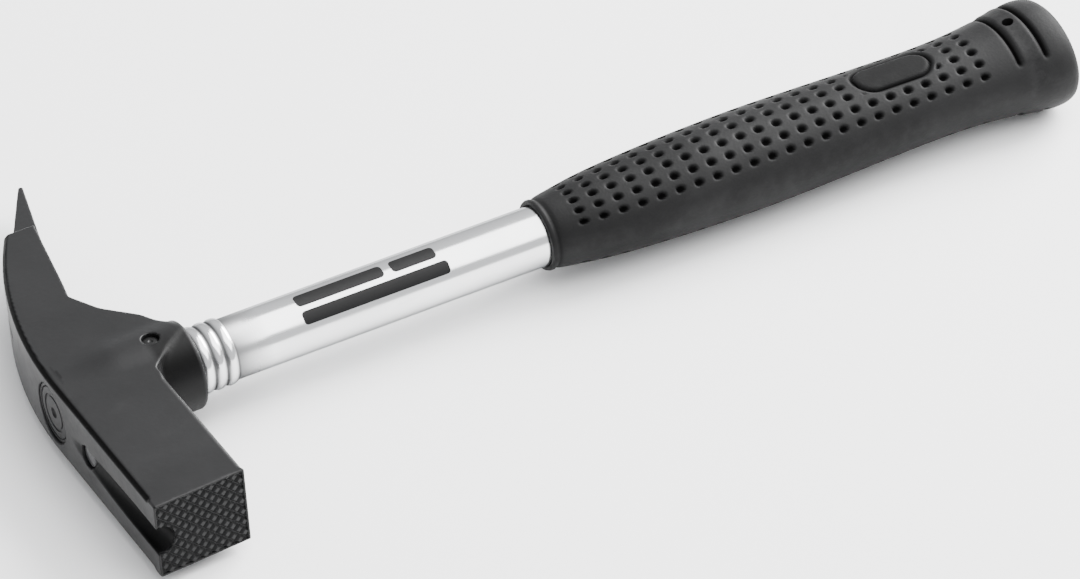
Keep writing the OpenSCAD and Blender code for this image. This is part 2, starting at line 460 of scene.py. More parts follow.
@dataclass(frozen=True)
class MouldedRubber(Finish):
    """Matte black rubber with a stippled mould texture, greyer where hands rub it, with painted shade in its
    recesses and on its smooth panel.
    """

    rubbed_colour: tuple[float, float, float] = (0.02, 0.02, 0.0205)
    painted_shade_colour: tuple[float, float, float] = (0.0015, 0.0015, 0.0015)

    def material(self, effects: Effects) -> bpy.types.Material:
        """Builds the rubber.

        Args:
            effects: the shared node groups.

        Returns:
            The material.
        """
        material, graph, shader, place = self.start()
        edge = graph.add("ShaderNodeAttribute", attribute_name="edge").outputs["Fac"]
        grain = effects.place(graph, effects.grain, Vector=place, Scale=self.grain_scale, Detail=6.0)
        wear = effects.place(graph, effects.wear, Vector=place, Edge=edge, Scale=260.0, Amount=0.6)
        marks = effects.place(graph, effects.marks, Vector=place, Scale=30.0, Stretch=2.0)
        dark = tuple(0.75 * value for value in self.colour)
        light = tuple(1.3 * value for value in self.colour)
        rubber = graph.blend(grain.outputs["Mask"], dark, light)
        dusty = graph.blend(graph.math("MULTIPLY", marks.outputs["Mask"], 0.35), rubber, self.rubbed_colour)
        # painted shade: the rubber is darkened to near-black and made duller in its grooves, its pits and on
        # the smooth panel
        cavity = self.dull_painted_shade(graph, shader)
        rubbed = graph.blend(wear.outputs["Mask"], dusty, self.rubbed_colour)
        graph.feed(shader.inputs["Base Color"], graph.blend(cavity, rubbed, self.painted_shade_colour))
        satin = graph.math("MULTIPLY_ADD", marks.outputs["Mask"], -0.12, self.roughness)
        graph.feed(shader.inputs["Roughness"], graph.math("MULTIPLY_ADD", cavity, 0.35, satin, clamp=True))
        self.bump(graph, shader, grain.outputs["Height"], 0.00025)
        return material


@dataclass(frozen=True)
class PlainMould(Finish):
    """A printed film or moulded plastic: one colour with faint grain and scuffs."""

    def material(self, effects: Effects) -> bpy.types.Material:
        """Builds the finish.

        Args:
            effects: the shared node groups.

        Returns:
            The material.
        """
        material, graph, shader, place = self.start()
        grain = effects.place(graph, effects.grain, Vector=place, Scale=self.grain_scale)
        marks = effects.place(graph, effects.marks, Vector=place, Scale=60.0, Stretch=5.0)
        light = tuple(1.6 * value for value in self.colour)
        graph.feed(shader.inputs["Base Color"], graph.blend(marks.outputs["Mask"], self.colour, light))
        graph.feed(shader.inputs["Roughness"],
                   graph.math("MULTIPLY_ADD", marks.outputs["Mask"], 0.15, self.roughness))
        self.bump(graph, shader, grain.outputs["Height"])
        return material


# ---------------------------------------------------------------- meshes


def mesh_object(name: str, points: Array, faces: Sequence[Sequence[int]] | Array) -> bpy.types.Object:
    """Makes an object at the origin from points in millimetres.

    Args:
        name: the piece's name.
        points: its points, one row each.
        faces: the corners of its faces, counter-clockwise seen from outside.

    Returns:
        The object, smooth shaded and linked to the scene.
    """
    mesh = bpy.data.meshes.new(name)
    mesh.from_pydata((np.asarray(points) * MM).tolist(), [], [list(map(int, face)) for face in faces])
    mesh.polygons.foreach_set("use_smooth", [True] * len(mesh.polygons))
    mesh.update()
    piece = bpy.data.objects.new(name, mesh)
    bpy.context.scene.collection.objects.link(piece)
    return piece


def set_attribute(piece: bpy.types.Object, name: str, values: Array) -> None:
    """Stores one number for each point of a piece."""
    attribute = piece.data.attributes.get(name) or piece.data.attributes.new(name, "FLOAT", "POINT")
    attribute.data.foreach_set("value", np.asarray(values, np.float32))


def bake_modifiers(piece: bpy.types.Object) -> None:
    """Replaces a piece's mesh with the result of its modifiers, and removes them.

    Args:
        piece: the piece to change.
    """
    depsgraph = bpy.context.evaluated_depsgraph_get()
    finished = bpy.data.meshes.new_from_object(piece.evaluated_get(depsgraph), depsgraph=depsgraph)
    piece.modifiers.clear()
    piece.data = finished


def heal_cut(piece: bpy.types.Object, reach: float = 0.004) -> None:
    """Merges points closer than a reach in millimetres, which a cut can leave, and drops what collapses.

    Args:
        piece: the piece to clean.
        reach: how close two points may lie, in millimetres.
    """
    work = bmesh.new()
    work.from_mesh(piece.data)
    bmesh.ops.remove_doubles(work, verts=work.verts, dist=reach * MM)
    bmesh.ops.dissolve_degenerate(work, edges=work.edges, dist=reach * MM)
    work.to_mesh(piece.data)
    work.free()


def ring_faces(rings: int, sides: int) -> list[tuple[int, int, int, int]]:
    """Quads between neighbouring rings of points, going round each ring."""
    return [(i * sides + k, i * sides + (k + 1) % sides,
             (i + 1) * sides + (k + 1) % sides, (i + 1) * sides + k)
            for i in range(rings - 1) for k in range(sides)]


@dataclass(frozen=True)
class Axis:
    """A line that pieces are turned about."""

    origin: tuple[float, float, float]
    along: tuple[float, float, float]
    side: tuple[float, float, float]

    def ring(self, distance: float, radius: float, sides: int) -> Array:
        """Points round the axis, at a distance along it.

        Args:
            distance: distance along the axis.
            radius: radius of the ring.
            sides: number of points.

        Returns:
            The points.
        """
        along, side = np.array(self.along), np.array(self.side)
        turn = np.linspace(0.0, 2.0 * math.pi, sides, endpoint=False)[:, None]
        outward = np.cos(turn) * side + np.sin(turn) * np.cross(along, side)
        return np.array(self.origin) + distance * along + radius * outward


def turned(name: str, axis: Axis, profile: Sequence[tuple[float, float]], sides: int,
           hollow: bool = False) -> bpy.types.Object:
    """Turns a profile about an axis.

    Args:
        name: the piece's name.
        axis: the line it is turned about.
        profile: (distance along the axis, radius), from the low end to the high end on the
            outside, and back along the inside for a hollow piece.
        sides: the number of points round it.
        hollow: whether the profile closes on itself; otherwise its ends close on the axis.

    Returns:
        The closed piece.
    """
    rings = [axis.ring(distance, radius, sides) for distance, radius in profile]
    faces: list[Sequence[int]] = list(ring_faces(len(rings), sides))
    last = (len(rings) - 1) * sides
    if hollow:
        faces += [(last + k, last + (k + 1) % sides, (k + 1) % sides, k) for k in range(sides)]
        return mesh_object(name, np.vstack(rings), faces)
    centres = [np.array(axis.origin) + profile[end][0] * np.array(axis.along) for end in (0, -1)]
    low, high = last + sides, last + sides + 1
    faces += [(low, (k + 1) % sides, k) for k in range(sides)]
    faces += [(high, last + k, last + (k + 1) % sides) for k in range(sides)]
    return mesh_object(name, np.vstack(rings + [np.array(centres)]), faces)


def arc_points(start: float, end: float, count: int, centre: tuple[float, float],
               radius: float) -> list[tuple[float, float]]:
    """Points of an arc about a centre, with both angles in degrees."""
    return [(centre[0] + radius * math.cos(math.radians(turn)),
             centre[1] + radius * math.sin(math.radians(turn)))
            for turn in np.linspace(start, end, count)]


# ---------------------------------------------------------------- distance fields


def ramp(value: Array, low: float, high: float) -> Array:
    """Rises from 0 at low to 1 at high, level beyond them; it falls where high is the lesser."""
    return np.clip((value - low) / (high - low), 0.0, 1.0)


def eased(share: Array) -> Array:
    """A share from 0 to 1 with a soft start and end."""
    return share * share * (3.0 - 2.0 * share)


def bell(offset: Array, half: float, power: int = 2) -> Array:
    """One where there is no offset, falling away smoothly over a half width."""
    return np.exp(-(offset / half) ** power)


def smooth_min(a: Array, b: Array, reach: float) -> Array:
    """The lesser of two fields, blended where they are within reach of each other."""
    blend = np.maximum(reach - np.abs(a - b), 0.0) / reach
    return np.minimum(a, b) - blend * blend * reach / 4.0


def smooth_max(a: Array, b: Array, reach: float) -> Array:
    """The greater of two fields, blended where they are within reach of each other."""
    return -smooth_min(-a, -b, reach)


def rounded_join(a: Array, b: Array, radius: float) -> Array:
    """The overlap of two shapes, with a true round of that radius along their edge.

    Args:
        a: distances outside one shape.
        b: distances outside the other.
        radius: radius of the round.

    Returns:
        The distances outside the overlap.
    """
    a, b = a + radius, b + radius
    outside = np.hypot(np.maximum(a, 0.0), np.maximum(b, 0.0))
    return outside + np.minimum(np.maximum(a, b), 0.0) - radius


def rounded_outline(corners: Sequence[tuple[float, float, float]],
                    steps: int = 7) -> list[tuple[float, float]]:
    """Replaces each corner (x, y, radius) of a closed outline with an arc.

    Args:
        corners: the corners, each with the radius of its arc.
        steps: points along each arc.

    Returns:
        The points of the rounded outline.
    """
    outline: list[tuple[float, float]] = []
    for place, (x, y, radius) in enumerate(corners):
        here = Vector((x, y))
        before = (Vector(corners[place - 1][:2]) - here).normalized()
        after = (Vector(corners[(place + 1) % len(corners)][:2]) - here).normalized()
        half = before.angle(after) / 2.0
        if radius == 0.0 or half > math.radians(89.0):
            outline.append((x, y))
            continue
        centre = here + (before + after).normalized() * radius / math.sin(half)
        first = here + before * radius / math.tan(half) - centre
        last = here + after * radius / math.tan(half) - centre
        for share in np.linspace(0.0, 1.0, steps):
            point = centre + first.lerp(last, float(share)).normalized() * radius
            outline.append((point.x, point.y))
    return outline


def outline_distance(x: Array, y: Array, outline: Sequence[tuple[float, float]]) -> Array:
    """Distance to a closed outline, negative inside it.

    Args:
        x: first coordinate of each place.
        y: second coordinate of each place.
        outline: the points of the outline.

    Returns:
        The distances, negative inside.
    """
    nearest = np.full(np.broadcast(x, y).shape, np.inf)
    inside = np.zeros(nearest.shape, bool)
    for (ax, ay), (bx, by) in zip(outline, list(outline[1:]) + [outline[0]]):
        ex, ey = bx - ax, by - ay
        share = np.clip(((x - ax) * ex + (y - ay) * ey) / max(ex * ex + ey * ey, 1e-12), 0.0, 1.0)
        nearest = np.minimum(nearest, (x - ax - ex * share) ** 2 + (y - ay - ey * share) ** 2)
        if ey != 0.0:
            crosses = (np.minimum(ay, by) <= y) & (y < np.maximum(ay, by))
            inside ^= crosses & (x < ax + (y - ay) * ex / ey)
    return np.where(inside, -1.0, 1.0) * np.sqrt(nearest)


class FieldSkin:
    """Wraps the zero surface of a distance field in a mesh of quads."""

    CORNERS = np.array([(i, j, k) for i in (0, 1) for j in (0, 1) for k in (0, 1)])

    def __init__(self, distance: Any, low: Sequence[float], high: Sequence[float], step: float) -> None:
        """Keeps the field and the box that is searched, in millimetres.

        Args:
            distance: the field, negative inside the shape.
            low: lowest corner of the box.
            high: highest corner of the box.
            step: size of a grid cell.
        """
        self.distance = distance
        self.low = np.array(low, float)
        self.step = step
        self.shape = np.ceil((np.array(high) - self.low) / step).astype(int) + 1

    def gradient(self, points: Array, reach: float = 0.05) -> Array:
        """Unit normals of the field at some points.

        Args:
            points: where to look.
            reach: how far apart the samples lie.

        Returns:
            One unit normal for each point.
        """
        slopes = []
        for axis in range(3):
            offset = np.eye(3)[axis] * reach
            slopes.append(self.distance(*(points + offset).T) - self.distance(*(points - offset).T))
        normals = np.stack(slopes, axis=1)
        return normals / np.maximum(np.linalg.norm(normals, axis=1, keepdims=True), 1e-9)

    def sharpness(self, points: Array, reach: float) -> Array:
        """How strongly the surface turns outwards at each point: zero on a flat.

        Args:
            points: where to look.
            reach: how far out the samples lie.

        Returns:
            One number for each point.
        """
        total = -6.0 * self.distance(*points.T)
        for axis in range(3):
            offset = np.eye(3)[axis] * reach
            total += self.distance(*(points + offset).T) + self.distance(*(points - offset).T)
        return total / reach

    def build(self, name: str) -> tuple[bpy.types.Object, Array]:
        """Makes the mesh.

        Args:
            name: the piece's name.

        Returns:
            The piece, and its points in millimetres.
        """
        sides = [self.low[a] + self.step * np.arange(self.shape[a]) for a in range(3)]
        values = self.distance(sides[0][:, None, None], sides[1][None, :, None], sides[2][None, None, :])
        solid = values < 0.0
        cells = np.zeros(self.shape - 1, int)
        for i, j, k in self.CORNERS:
            cells += solid[i:i + cells.shape[0], j:j + cells.shape[1], k:k + cells.shape[2]]
        crossed = np.argwhere((cells > 0) & (cells < 8))
        number = np.full(cells.shape, -1)
        number[tuple(crossed.T)] = np.arange(len(crossed))
        points = self._settle(self._cell_points(crossed, values))
        piece = mesh_object(name, points, self._quads(solid, number))
        piece.data.normals_split_custom_set_from_vertices(self.gradient(points).tolist())
        return piece, points

    def _cell_points(self, crossed: Array, values: Array) -> Array:
        """The mean of the places where the surface crosses the edges of each cell.

        Args:
            crossed: the cells that the surface passes through.
            values: the field at the corners of the grid.

        Returns:
            One point for each cell.
        """
        at_corner = np.stack([values[tuple((crossed + c).T)] for c in self.CORNERS], axis=1)
        total = np.zeros((len(crossed), 3))
        count = np.zeros((len(crossed), 1))
        for a in range(8):
            for b in range(a + 1, 8):
                if np.abs(self.CORNERS[a] - self.CORNERS[b]).sum() != 1:
                    continue
                va, vb = at_corner[:, a, None], at_corner[:, b, None]
                cuts = (va < 0.0) != (vb < 0.0)
                share = np.where(cuts, va / np.where(cuts, va - vb, 1.0), 0.0)
                total += np.where(cuts, self.CORNERS[a] + share * (self.CORNERS[b] - self.CORNERS[a]), 0.0)
                count += cuts
        return self.low + self.step * (crossed + total / count)

    def _settle(self, points: Array) -> Array:
        """Moves points onto the zero surface in a few short steps.

        Args:
            points: points near the surface.

        Returns:
            The points on it.
        """
        for _ in range(4):
            move = np.clip(self.distance(*points.T), -self.step / 2, self.step / 2)
            points = points - self.gradient(points) * move[:, None]
        return points

    @staticmethod
    def _quads(solid: Array, number: Array) -> Array:
        """One quad round every grid edge that passes through the surface, facing out of the solid.

        Args:
            solid: which corners of the grid lie inside.
            number: the number of the point in each cell.

        Returns:
            The four points of each quad.
        """
        quads = []
        for axis in range(3):
            b, c = (axis + 1) % 3, (axis + 2) % 3
            near = np.take(solid, range(solid.shape[axis] - 1), axis)
            far = np.take(solid, range(1, solid.shape[axis]), axis)
            places = np.argwhere(near != far)
            keep = (places[:, b] > 0) & (places[:, c] > 0)
            keep &= (places[:, b] < number.shape[b]) & (places[:, c] < number.shape[c])
            places = places[keep]
            step_b, step_c = np.eye(3, dtype=int)[b], np.eye(3, dtype=int)[c]
            around = [places - step_b - step_c, places - step_c, places, places - step_b]
            quad = np.stack([number[tuple(cell.T)] for cell in around], axis=1)
            leaving = near[tuple(places.T)]
            quads.append(np.where(leaving[:, None], quad, quad[:, ::-1]))
        return np.vstack(quads)


# ---------------------------------------------------------------- geometry rules


class GeometryRule:
    """A Geometry Nodes tree with named inputs, that is run once on a piece."""

    def __init__(self, name: str, inputs: dict[str, str]) -> None:
        """Starts the tree.

        Args:
            name: the tree's name.
            inputs: each extra input and its kind, such as Float or Object.
        """
        self.tree = bpy.data.node_groups.new(name, "GeometryNodeTree")
        self.tree.interface.new_socket("Geometry", in_out="INPUT", socket_type="NodeSocketGeometry")
        self.labels = {}
        for label, kind in inputs.items():
            socket = self.tree.interface.new_socket(label, in_out="INPUT", socket_type="NodeSocket" + kind)
            self.labels[label] = socket.identifier
        self.tree.interface.new_socket("Geometry", in_out="OUTPUT", socket_type="NodeSocketGeometry")
        self.graph = Graph(self.tree)
        self.start = self.graph.add("NodeGroupInput")
        self.end = self.graph.add("NodeGroupOutput")

    def given(self, label: str) -> Socket:
        """The socket that carries an input."""
        return self.start.outputs[label]

    def close(self, geometry: Socket, material: bpy.types.Material) -> None:
        """Ends the tree: realises what is instanced and sets its material.

        Args:
            geometry: what the rule puts out.
            material: its finish.
        """
        real = self.graph.add("GeometryNodeRealizeInstances", {0: geometry})
        painted = self.graph.add("GeometryNodeSetMaterial", {"Geometry": real.outputs[0],
                                                             "Material": material})
        self.graph.feed(self.end.inputs[0], painted.outputs[0])

    def run(self, piece: bpy.types.Object, **values: Any) -> None:
        """Applies the rule to a piece.

        Args:
            piece: the piece whose mesh goes in and comes out.
            values: a value for each named input.
        """
        modifier = piece.modifiers.new(self.tree.name, "NODES")
        modifier.node_group = self.tree
        for label, value in values.items():
            modifier[self.labels[label]] = value
        bake_modifiers(piece)


def prism(name: str, outline: Sequence[tuple[float, float]], low: float, high: float,
          place: Matrix) -> bpy.types.Object:
    """A closed prism over a counter-clockwise outline, moved by a matrix in millimetres.

    Args:
        name: the piece's name.
        outline: the points of its base.
        low: height of the base.
        high: height of the top.
        place: where it stands.

    Returns:
        The prism.
    """
    count = len(outline)
    points = [(x, y, height) for height in (low, high) for x, y in outline]
    faces: list[Sequence[int]] = [(k, (k + 1) % count, count + (k + 1) % count, count + k)
                                  for k in range(count)]
    faces += [tuple(reversed(range(count))), tuple(range(count, 2 * count))]
    return mesh_object(name, np.array([place @ Vector(point) for point in points]), faces)


# ---------------------------------------------------------------- the hammer's plan


@dataclass(frozen=True)
class Plan:
    """Where the parts meet, in millimetres, read from the frame."""

    head: tuple[Array, Array] = field(default_factory=lambda: node_box("head"))
    tube: tuple[Array, Array] = field(default_factory=lambda: node_box("handle_tube"))
    plug: tuple[Array, Array] = field(default_factory=lambda: node_box("eye_plug"))
    pin: tuple[Array, Array] = field(default_factory=lambda: node_box("cross_pin"))
    magnet: tuple[Array, Array] = field(default_factory=lambda: node_box("nail_magnet"))
    grip: tuple[Array, Array] = field(default_factory=lambda: node_box("grip_sleeve"))
    end_plug: tuple[Array, Array] = field(default_factory=lambda: node_box("tube_end_plug"))
    label: tuple[Array, Array] = field(default_factory=lambda: node_box("tube_label"))

    @property
    def eye_y(self) -> float:
        """Distance of the handle's axis from the striking face."""
        return float(self.pin[0][1] + self.pin[1][1]) / 2.0

    @property
    def handle(self) -> Axis:
        """The handle's axis, with distances measured along X from the origin."""
        return Axis((0.0, self.eye_y, 0.0), (1.0, 0.0, 0.0), (0.0, -1.0, 0.0))


# ---------------------------------------------------------------- the head


@dataclass
class ForgedHead:
    """The forged head: poll with a milled face, eye with its socket, and the split claw."""

    plan: Plan
    effects: Effects
    crown_r: float = 150.0
    crown_sweep: float = 27.5
    crown_lead: float = 3.0
    chamfer: float = 1.1
    poll_chamfer: float = 1.0
    round_r: float = 0.55
    crease_r: float = 0.45
    socket_fillet: float = 2.5
    socket_swell: float = 1.0
    tube_clearance: float = 1.2
    face_tilt: float = 4.0
    mill_pitch: float = 2.5
    mill_depth: float = 0.8
    mill_sink: float = 0.05
    mill_slope: float = 0.85
    mill_rim: float = 0.75
    groove_r: float = 4.3
    groove_depths: tuple[float, float] = (5.5, 0.3)
    groove_l: float = 47.0
    claw_root_y: float = 97.5
    slot_y: float = 104.0
    slot_root_r: float = 1.2
    tine_y: float = 136.0
    tine_x: float = 7.5
    tine_end_x: float = 14.4
    spike_taper_y: float = 118.0
    spike_taper: float = 0.062
    spike_inner_z: float = 7.2
    tine_taper: float = 0.05
    tine_inner_z: float = 4.6
    tine_corner_r: float = 0.8
    overrun: float = 5.0
    blend: float = 0.3
    bevel_run: tuple[float, float] = (1.5, 4.0)
    poll_bevel_run: tuple[float, float] = (1.0, 3.0)
    poll_end_gap: float = 13.0
    poll_end_fade: float = 4.0
    barrel_sink: float = 1.2
    barrel_rise: tuple[float, float] = (-9.0, 7.0)
    mouth_round: float = 1.1
    groove_round: float = 0.4
    bore_round: float = 0.35
    pocket_round: float = 0.12
    hole_round: float = 0.3
    seat_round: float = 0.25
    step: float = 0.53
    room_below: tuple[float, float, float] = (1.0, 2.0, 1.3)
    room_above: tuple[float, float, float] = (1.0, 1.2, 1.3)
    wear_reach: float = 0.5
    wear_gain: float = 1.4
    wear_floor: float = 0.15
    # painted shade: how strongly the groove, the crown's chamfers and the crease behind the socket are
    # darkened
    channel_shade_amount: float = 0.8
    channel_fade: tuple[float, float] = (0.39, 0.09)
    bevel_fade: tuple[float, float] = (0.225, 0.075)
    socket_shade_amount: tuple[float, float] = (0.42, 0.5)
    socket_shade: tuple[float, float] = (9.0, 3.5)
    teeth_in_row: int = 17
    tooth_gap: float = 0.01
    tooth_overlap: float = 0.05
    tooth_setback: float = 0.3
    tooth_wear: float = 0.55
    finish: BlackCoating = BlackCoating("forged_black", "head_paint", (0.007, 0.007, 0.0073), 0.45,
                                        grain_scale=700.0, grain_depth=0.22, gloss=0.2, wear=0.1,
                                        worn_colour=(0.06, 0.06, 0.062))

    def __post_init__(self) -> None:
        """Works out the places that several fields share."""
        low, high = self.plan.head
        self.top_x, self.under_x = float(low[0]), -float(low[0])
        self.mouth_x, self.tip_y = float(high[0]), float(high[1])
        self.socket_r = float(high[2])
        self.half_w = self.socket_r - self.socket_swell
        self.lean = math.radians(self.face_tilt)
        self.crown_x = self.top_x + self.crown_r
        self.crown_y = self.plan.eye_y - self.crown_lead
        self.tube_r = float(self.plan.plug[1][2]) + self.tube_clearance
        self.underside = self._underside()
        self.tine_relief = self._tine_relief()

    def _underside(self) -> list[tuple[float, float]]:
        """Side outline of the head without its crown, with its corners rounded.

        Returns:
            The points of the outline.
        """
        eye, under = self.plan.eye_y, self.under_x
        mouth = self.mouth_x
        back = self.top_x - 2.0 * self.under_x
        tip_x = self.crown_x - self.crown_r / math.cos(math.radians(self.crown_sweep))
        tip_x += (self.tip_y - self.crown_y) * math.tan(math.radians(self.crown_sweep)) + 1.5
        corners = [(back, back * math.tan(self.lean), 0.0), (under, under * math.tan(self.lean), 0.4),
                   (under, eye - 11.0, 3.0), (under + 6.0, eye - 5.0, 0.0), (mouth - 1.7, eye, 0.0),
                   (mouth - 2.8, eye + 4.5, 5.0), (mouth - 7.2, eye + 13.0, 10.0),
                   (under - 1.7, eye + 22.2, 13.0), (self.tine_x, self.claw_root_y, 3.5),
                   (tip_x, self.tip_y, 0.5), (back, self.tip_y, 0.0)]
        return rounded_outline(corners, 13)

    def _tine_relief(self) -> list[tuple[float, float]]:
        """Side outline of the space below the short tine, on the upper half of the head.

        Returns:
            The corners of the outline.
        """
        far_x, far_y = self.mouth_x, self.tip_y + self.overrun
        return [(self.tine_x, self.claw_root_y), (far_x, self.claw_root_y), (far_x, far_y),
                (self.tine_end_x, far_y), (self.tine_end_x, self.tine_y)]

    def crown(self, x: Array, y: Array) -> Array:
        """Distance outside the crown: straight over the poll, an arc, then straight to the point."""
        turn = np.clip(np.arctan2(y - self.crown_y, self.crown_x - x), 0.0, math.radians(self.crown_sweep))
        return (self.crown_x - x) * np.cos(turn) + (y - self.crown_y) * np.sin(turn) - self.crown_r

    def width(self, y: Array, z: Array) -> Array:
        """Distance outside the cheeks, which draw in along the claw.

        Args:
            y: places along the head, from the striking face.
            z: places across the head.

        Returns:
            The distances, negative inside.
        """
        spike = -z - self.half_w + (y - self.spike_taper_y) * self.spike_taper
        short = z - self.half_w + (y - self.slot_y) * self.tine_taper
        return np.maximum(np.abs(z) - self.half_w, np.maximum(spike, short))

    def crown_bevel(self, y: Array, width: Array, crown: Array) -> Array:
        """Distance outside the chamfer between the cheeks and the crown, which fades out at the face."""
        return (width + crown + self.chamfer * eased(ramp(y, *self.bevel_run))) / math.sqrt(2.0)

    def poll_bevel(self, x: Array, y: Array, width: Array) -> Array:
        """Distance outside the chamfer under the poll, which fades out at both ends.

        Args:
            x: places along the handle.
            y: places along the head, from the striking face.
            width: distances outside the cheeks.

        Returns:
            The distances, negative inside.
        """
        end_y = self.plan.eye_y - self.poll_end_gap
        fade = ramp(y, end_y, end_y - self.poll_end_fade) * ramp(y, *self.poll_bevel_run)
        bevel = (width + (x - self.under_x) + self.poll_chamfer * fade) / math.sqrt(2.0)
        return np.where(y < end_y + 1.0, bevel, -self.crown_r)

    def barrel(self, x: Array, y: Array, z: Array) -> Array:
        """Distance outside the socket's barrel, which swells out of the cheeks.

        Args:
            x: places along the handle.
            y: places along the head, from the striking face.
            z: places across the head.

        Returns:
            The distances, negative inside.
        """
        start_r = self.half_w - self.barrel_sink
        r = start_r + (self.socket_r - start_r) * eased(ramp(x, *self.barrel_rise))
        shape = rounded_join(np.hypot(y - self.plan.eye_y, z) - r, x - self.mouth_x, self.mouth_round)
        return np.maximum(shape, self.barrel_rise[0] - x)

    def groove(self, x: Array, y: Array, z: Array) -> Array:
        """Distance outside the round channel that holds a nail.

        Args:
            x: places along the handle.
            y: places along the head, from the striking face.
            z: places across the head.

        Returns:
            The distances, negative inside.
        """
        first, last = self.groove_depths
        slope = (first - last) / self.groove_l
        axis_x = self.top_x + first - self.groove_r - slope * y
        return np.hypot((x - axis_x) * math.cos(math.atan(slope)), z) - self.groove_r

    def forging(self, x: Array, y: Array, z: Array) -> Array:
        """The solid forging, before the claw is split and anything is drilled.

        Args:
            x: places along the handle.
            y: places along the head, from the striking face.
            z: places across the head.

        Returns:
            The distances, negative inside.
        """
        crown, width = self.crown(x, y), self.width(y, z)
        side = rounded_join(outline_distance(x, y, self.underside), crown, self.crease_r)
        body = rounded_join(side, width, self.round_r)
        body = smooth_max(body, self.crown_bevel(y, width, crown), self.blend)
        body = smooth_max(body, self.poll_bevel(x, y, width), self.blend)
        return smooth_min(body, self.barrel(x, y, z), self.socket_fillet)

    def claw_slot(self, y: Array, z: Array) -> Array:
        """The slot between the tines and the space beyond the short one.

        Args:
            y: places along the head, from the striking face.
            z: places across the head.

        Returns:
            The distances, negative inside the cut.
        """
        far, side, root = self.tip_y + self.overrun, self.half_w + self.overrun, self.slot_root_r
        corners = [(self.slot_y, -root, 0.0), (far, -self.spike_inner_z, 0.0), (far, side, 0.0),
                   (self.tine_y, side, 0.0), (self.tine_y, self.tine_inner_z, self.tine_corner_r),
                   (self.slot_y, root, 0.0)]
        slot = outline_distance(y, z, rounded_outline(corners, 6))
        return np.minimum(slot, np.hypot(y - self.slot_y, z) - root)

    def mill_pocket(self, x: Array, y: Array, z: Array) -> Array:
        """The shallow pocket inside the rim of the striking face, that the teeth stand in.

        Args:
            x: places along the handle.
            y: places along the head, from the striking face.
            z: places across the head.

        Returns:
            The distances, negative inside.
        """
        along = x * math.cos(self.lean) + y * math.sin(self.lean)
        out = x * math.sin(self.lean) - y * math.cos(self.lean)
        sides = np.maximum(np.abs(along) - self.under_x, np.abs(z) - self.half_w) + self.mill_rim
        return np.maximum(sides, -(out + self.mill_depth - self.mill_sink))

    def distance(self, x: Array, y: Array, z: Array) -> Array:
        """The finished head, as a distance that is negative inside the steel.

        Args:
            x: places along the handle.
            y: places along the head, from the striking face.
            z: places across the head.

        Returns:
            The distances.
        """
        pin_x, pin_r = middle_and_half(self.plan.pin, 0)
        magnet_y, magnet_r = middle_and_half(self.plan.magnet, 1)
        from_eye = y - self.plan.eye_y
        relief = np.maximum(outline_distance(x, y, self.tine_relief), -z)
        seat = np.maximum(np.hypot(y - magnet_y, z) - magnet_r, x - self.plan.magnet[1][0])
        cuts = ((self.claw_slot(y, z), self.crease_r), (relief, self.crease_r),
                (self.groove(x, y, z), self.groove_round),
                (np.hypot(from_eye, z) - self.tube_r, self.bore_round),
                (self.mill_pocket(x, y, z), self.pocket_round),
                (np.hypot(x - pin_x, from_eye) - pin_r, self.hole_round), (seat, self.seat_round))
        body = self.forging(x, y, z)
        for cut, radius in cuts:
            body = rounded_join(body, -cut, radius)
        return body

    def painted_shade_share(self, x: Array, y: Array, z: Array) -> Array:
        """Painted shade on the coating: how dark and dull it is made in the groove, on the crown's chamfers
        and in the crease behind the socket.

        Args:
            x: places along the handle.
            y: places along the head, from the striking face.
            z: places across the head.

        Returns:
            A share from 0 to 1 at each place.
        """
        channel = self.channel_shade_amount * ramp(np.abs(self.groove(x, y, z)), *self.channel_fade)
        bevel = ramp(np.abs(self.crown_bevel(y, self.width(y, z), self.crown(x, y))), *self.bevel_fade)
        eye = self.plan.eye_y
        inner = ramp(x, self.under_x + 0.5, self.under_x + 2.5) * ramp(y, eye + 3.0, eye - 3.0)
        inner *= np.maximum(ramp(x, self.mouth_x - 0.6, self.mouth_x - 1.4), 0.3)
        (least, more), (shade_z, shade_half) = self.socket_shade_amount, self.socket_shade
        crease = inner * (least + more * bell(np.abs(z) - shade_z, shade_half))
        return np.maximum(np.maximum(channel, bevel), crease)

    def body(self) -> bpy.types.Object:
        """Builds the head's body, marks its edges for wear and marks where shade is painted.

        Returns:
            The body.
        """
        low = np.array([self.top_x, 0.0, -self.socket_r]) - self.room_below
        high = np.array([self.mouth_x, self.tip_y, self.socket_r]) + self.room_above
        skin = FieldSkin(self.distance, low, high, self.step)
        piece, points = skin.build("head_forging")
        sharp = np.clip(skin.sharpness(points, self.wear_reach) * self.wear_gain - self.wear_floor, 0.0, 1.0)
        set_attribute(piece, "edge", sharp)
        # painted shade: darkens and dulls the groove, the crown's chamfers and the crease behind the socket
        set_attribute(piece, "cavity", self.painted_shade_share(*points.T))
        LOG.info("head: %d points, sharpest %.2f", len(points), float(sharp.max()))
        return piece

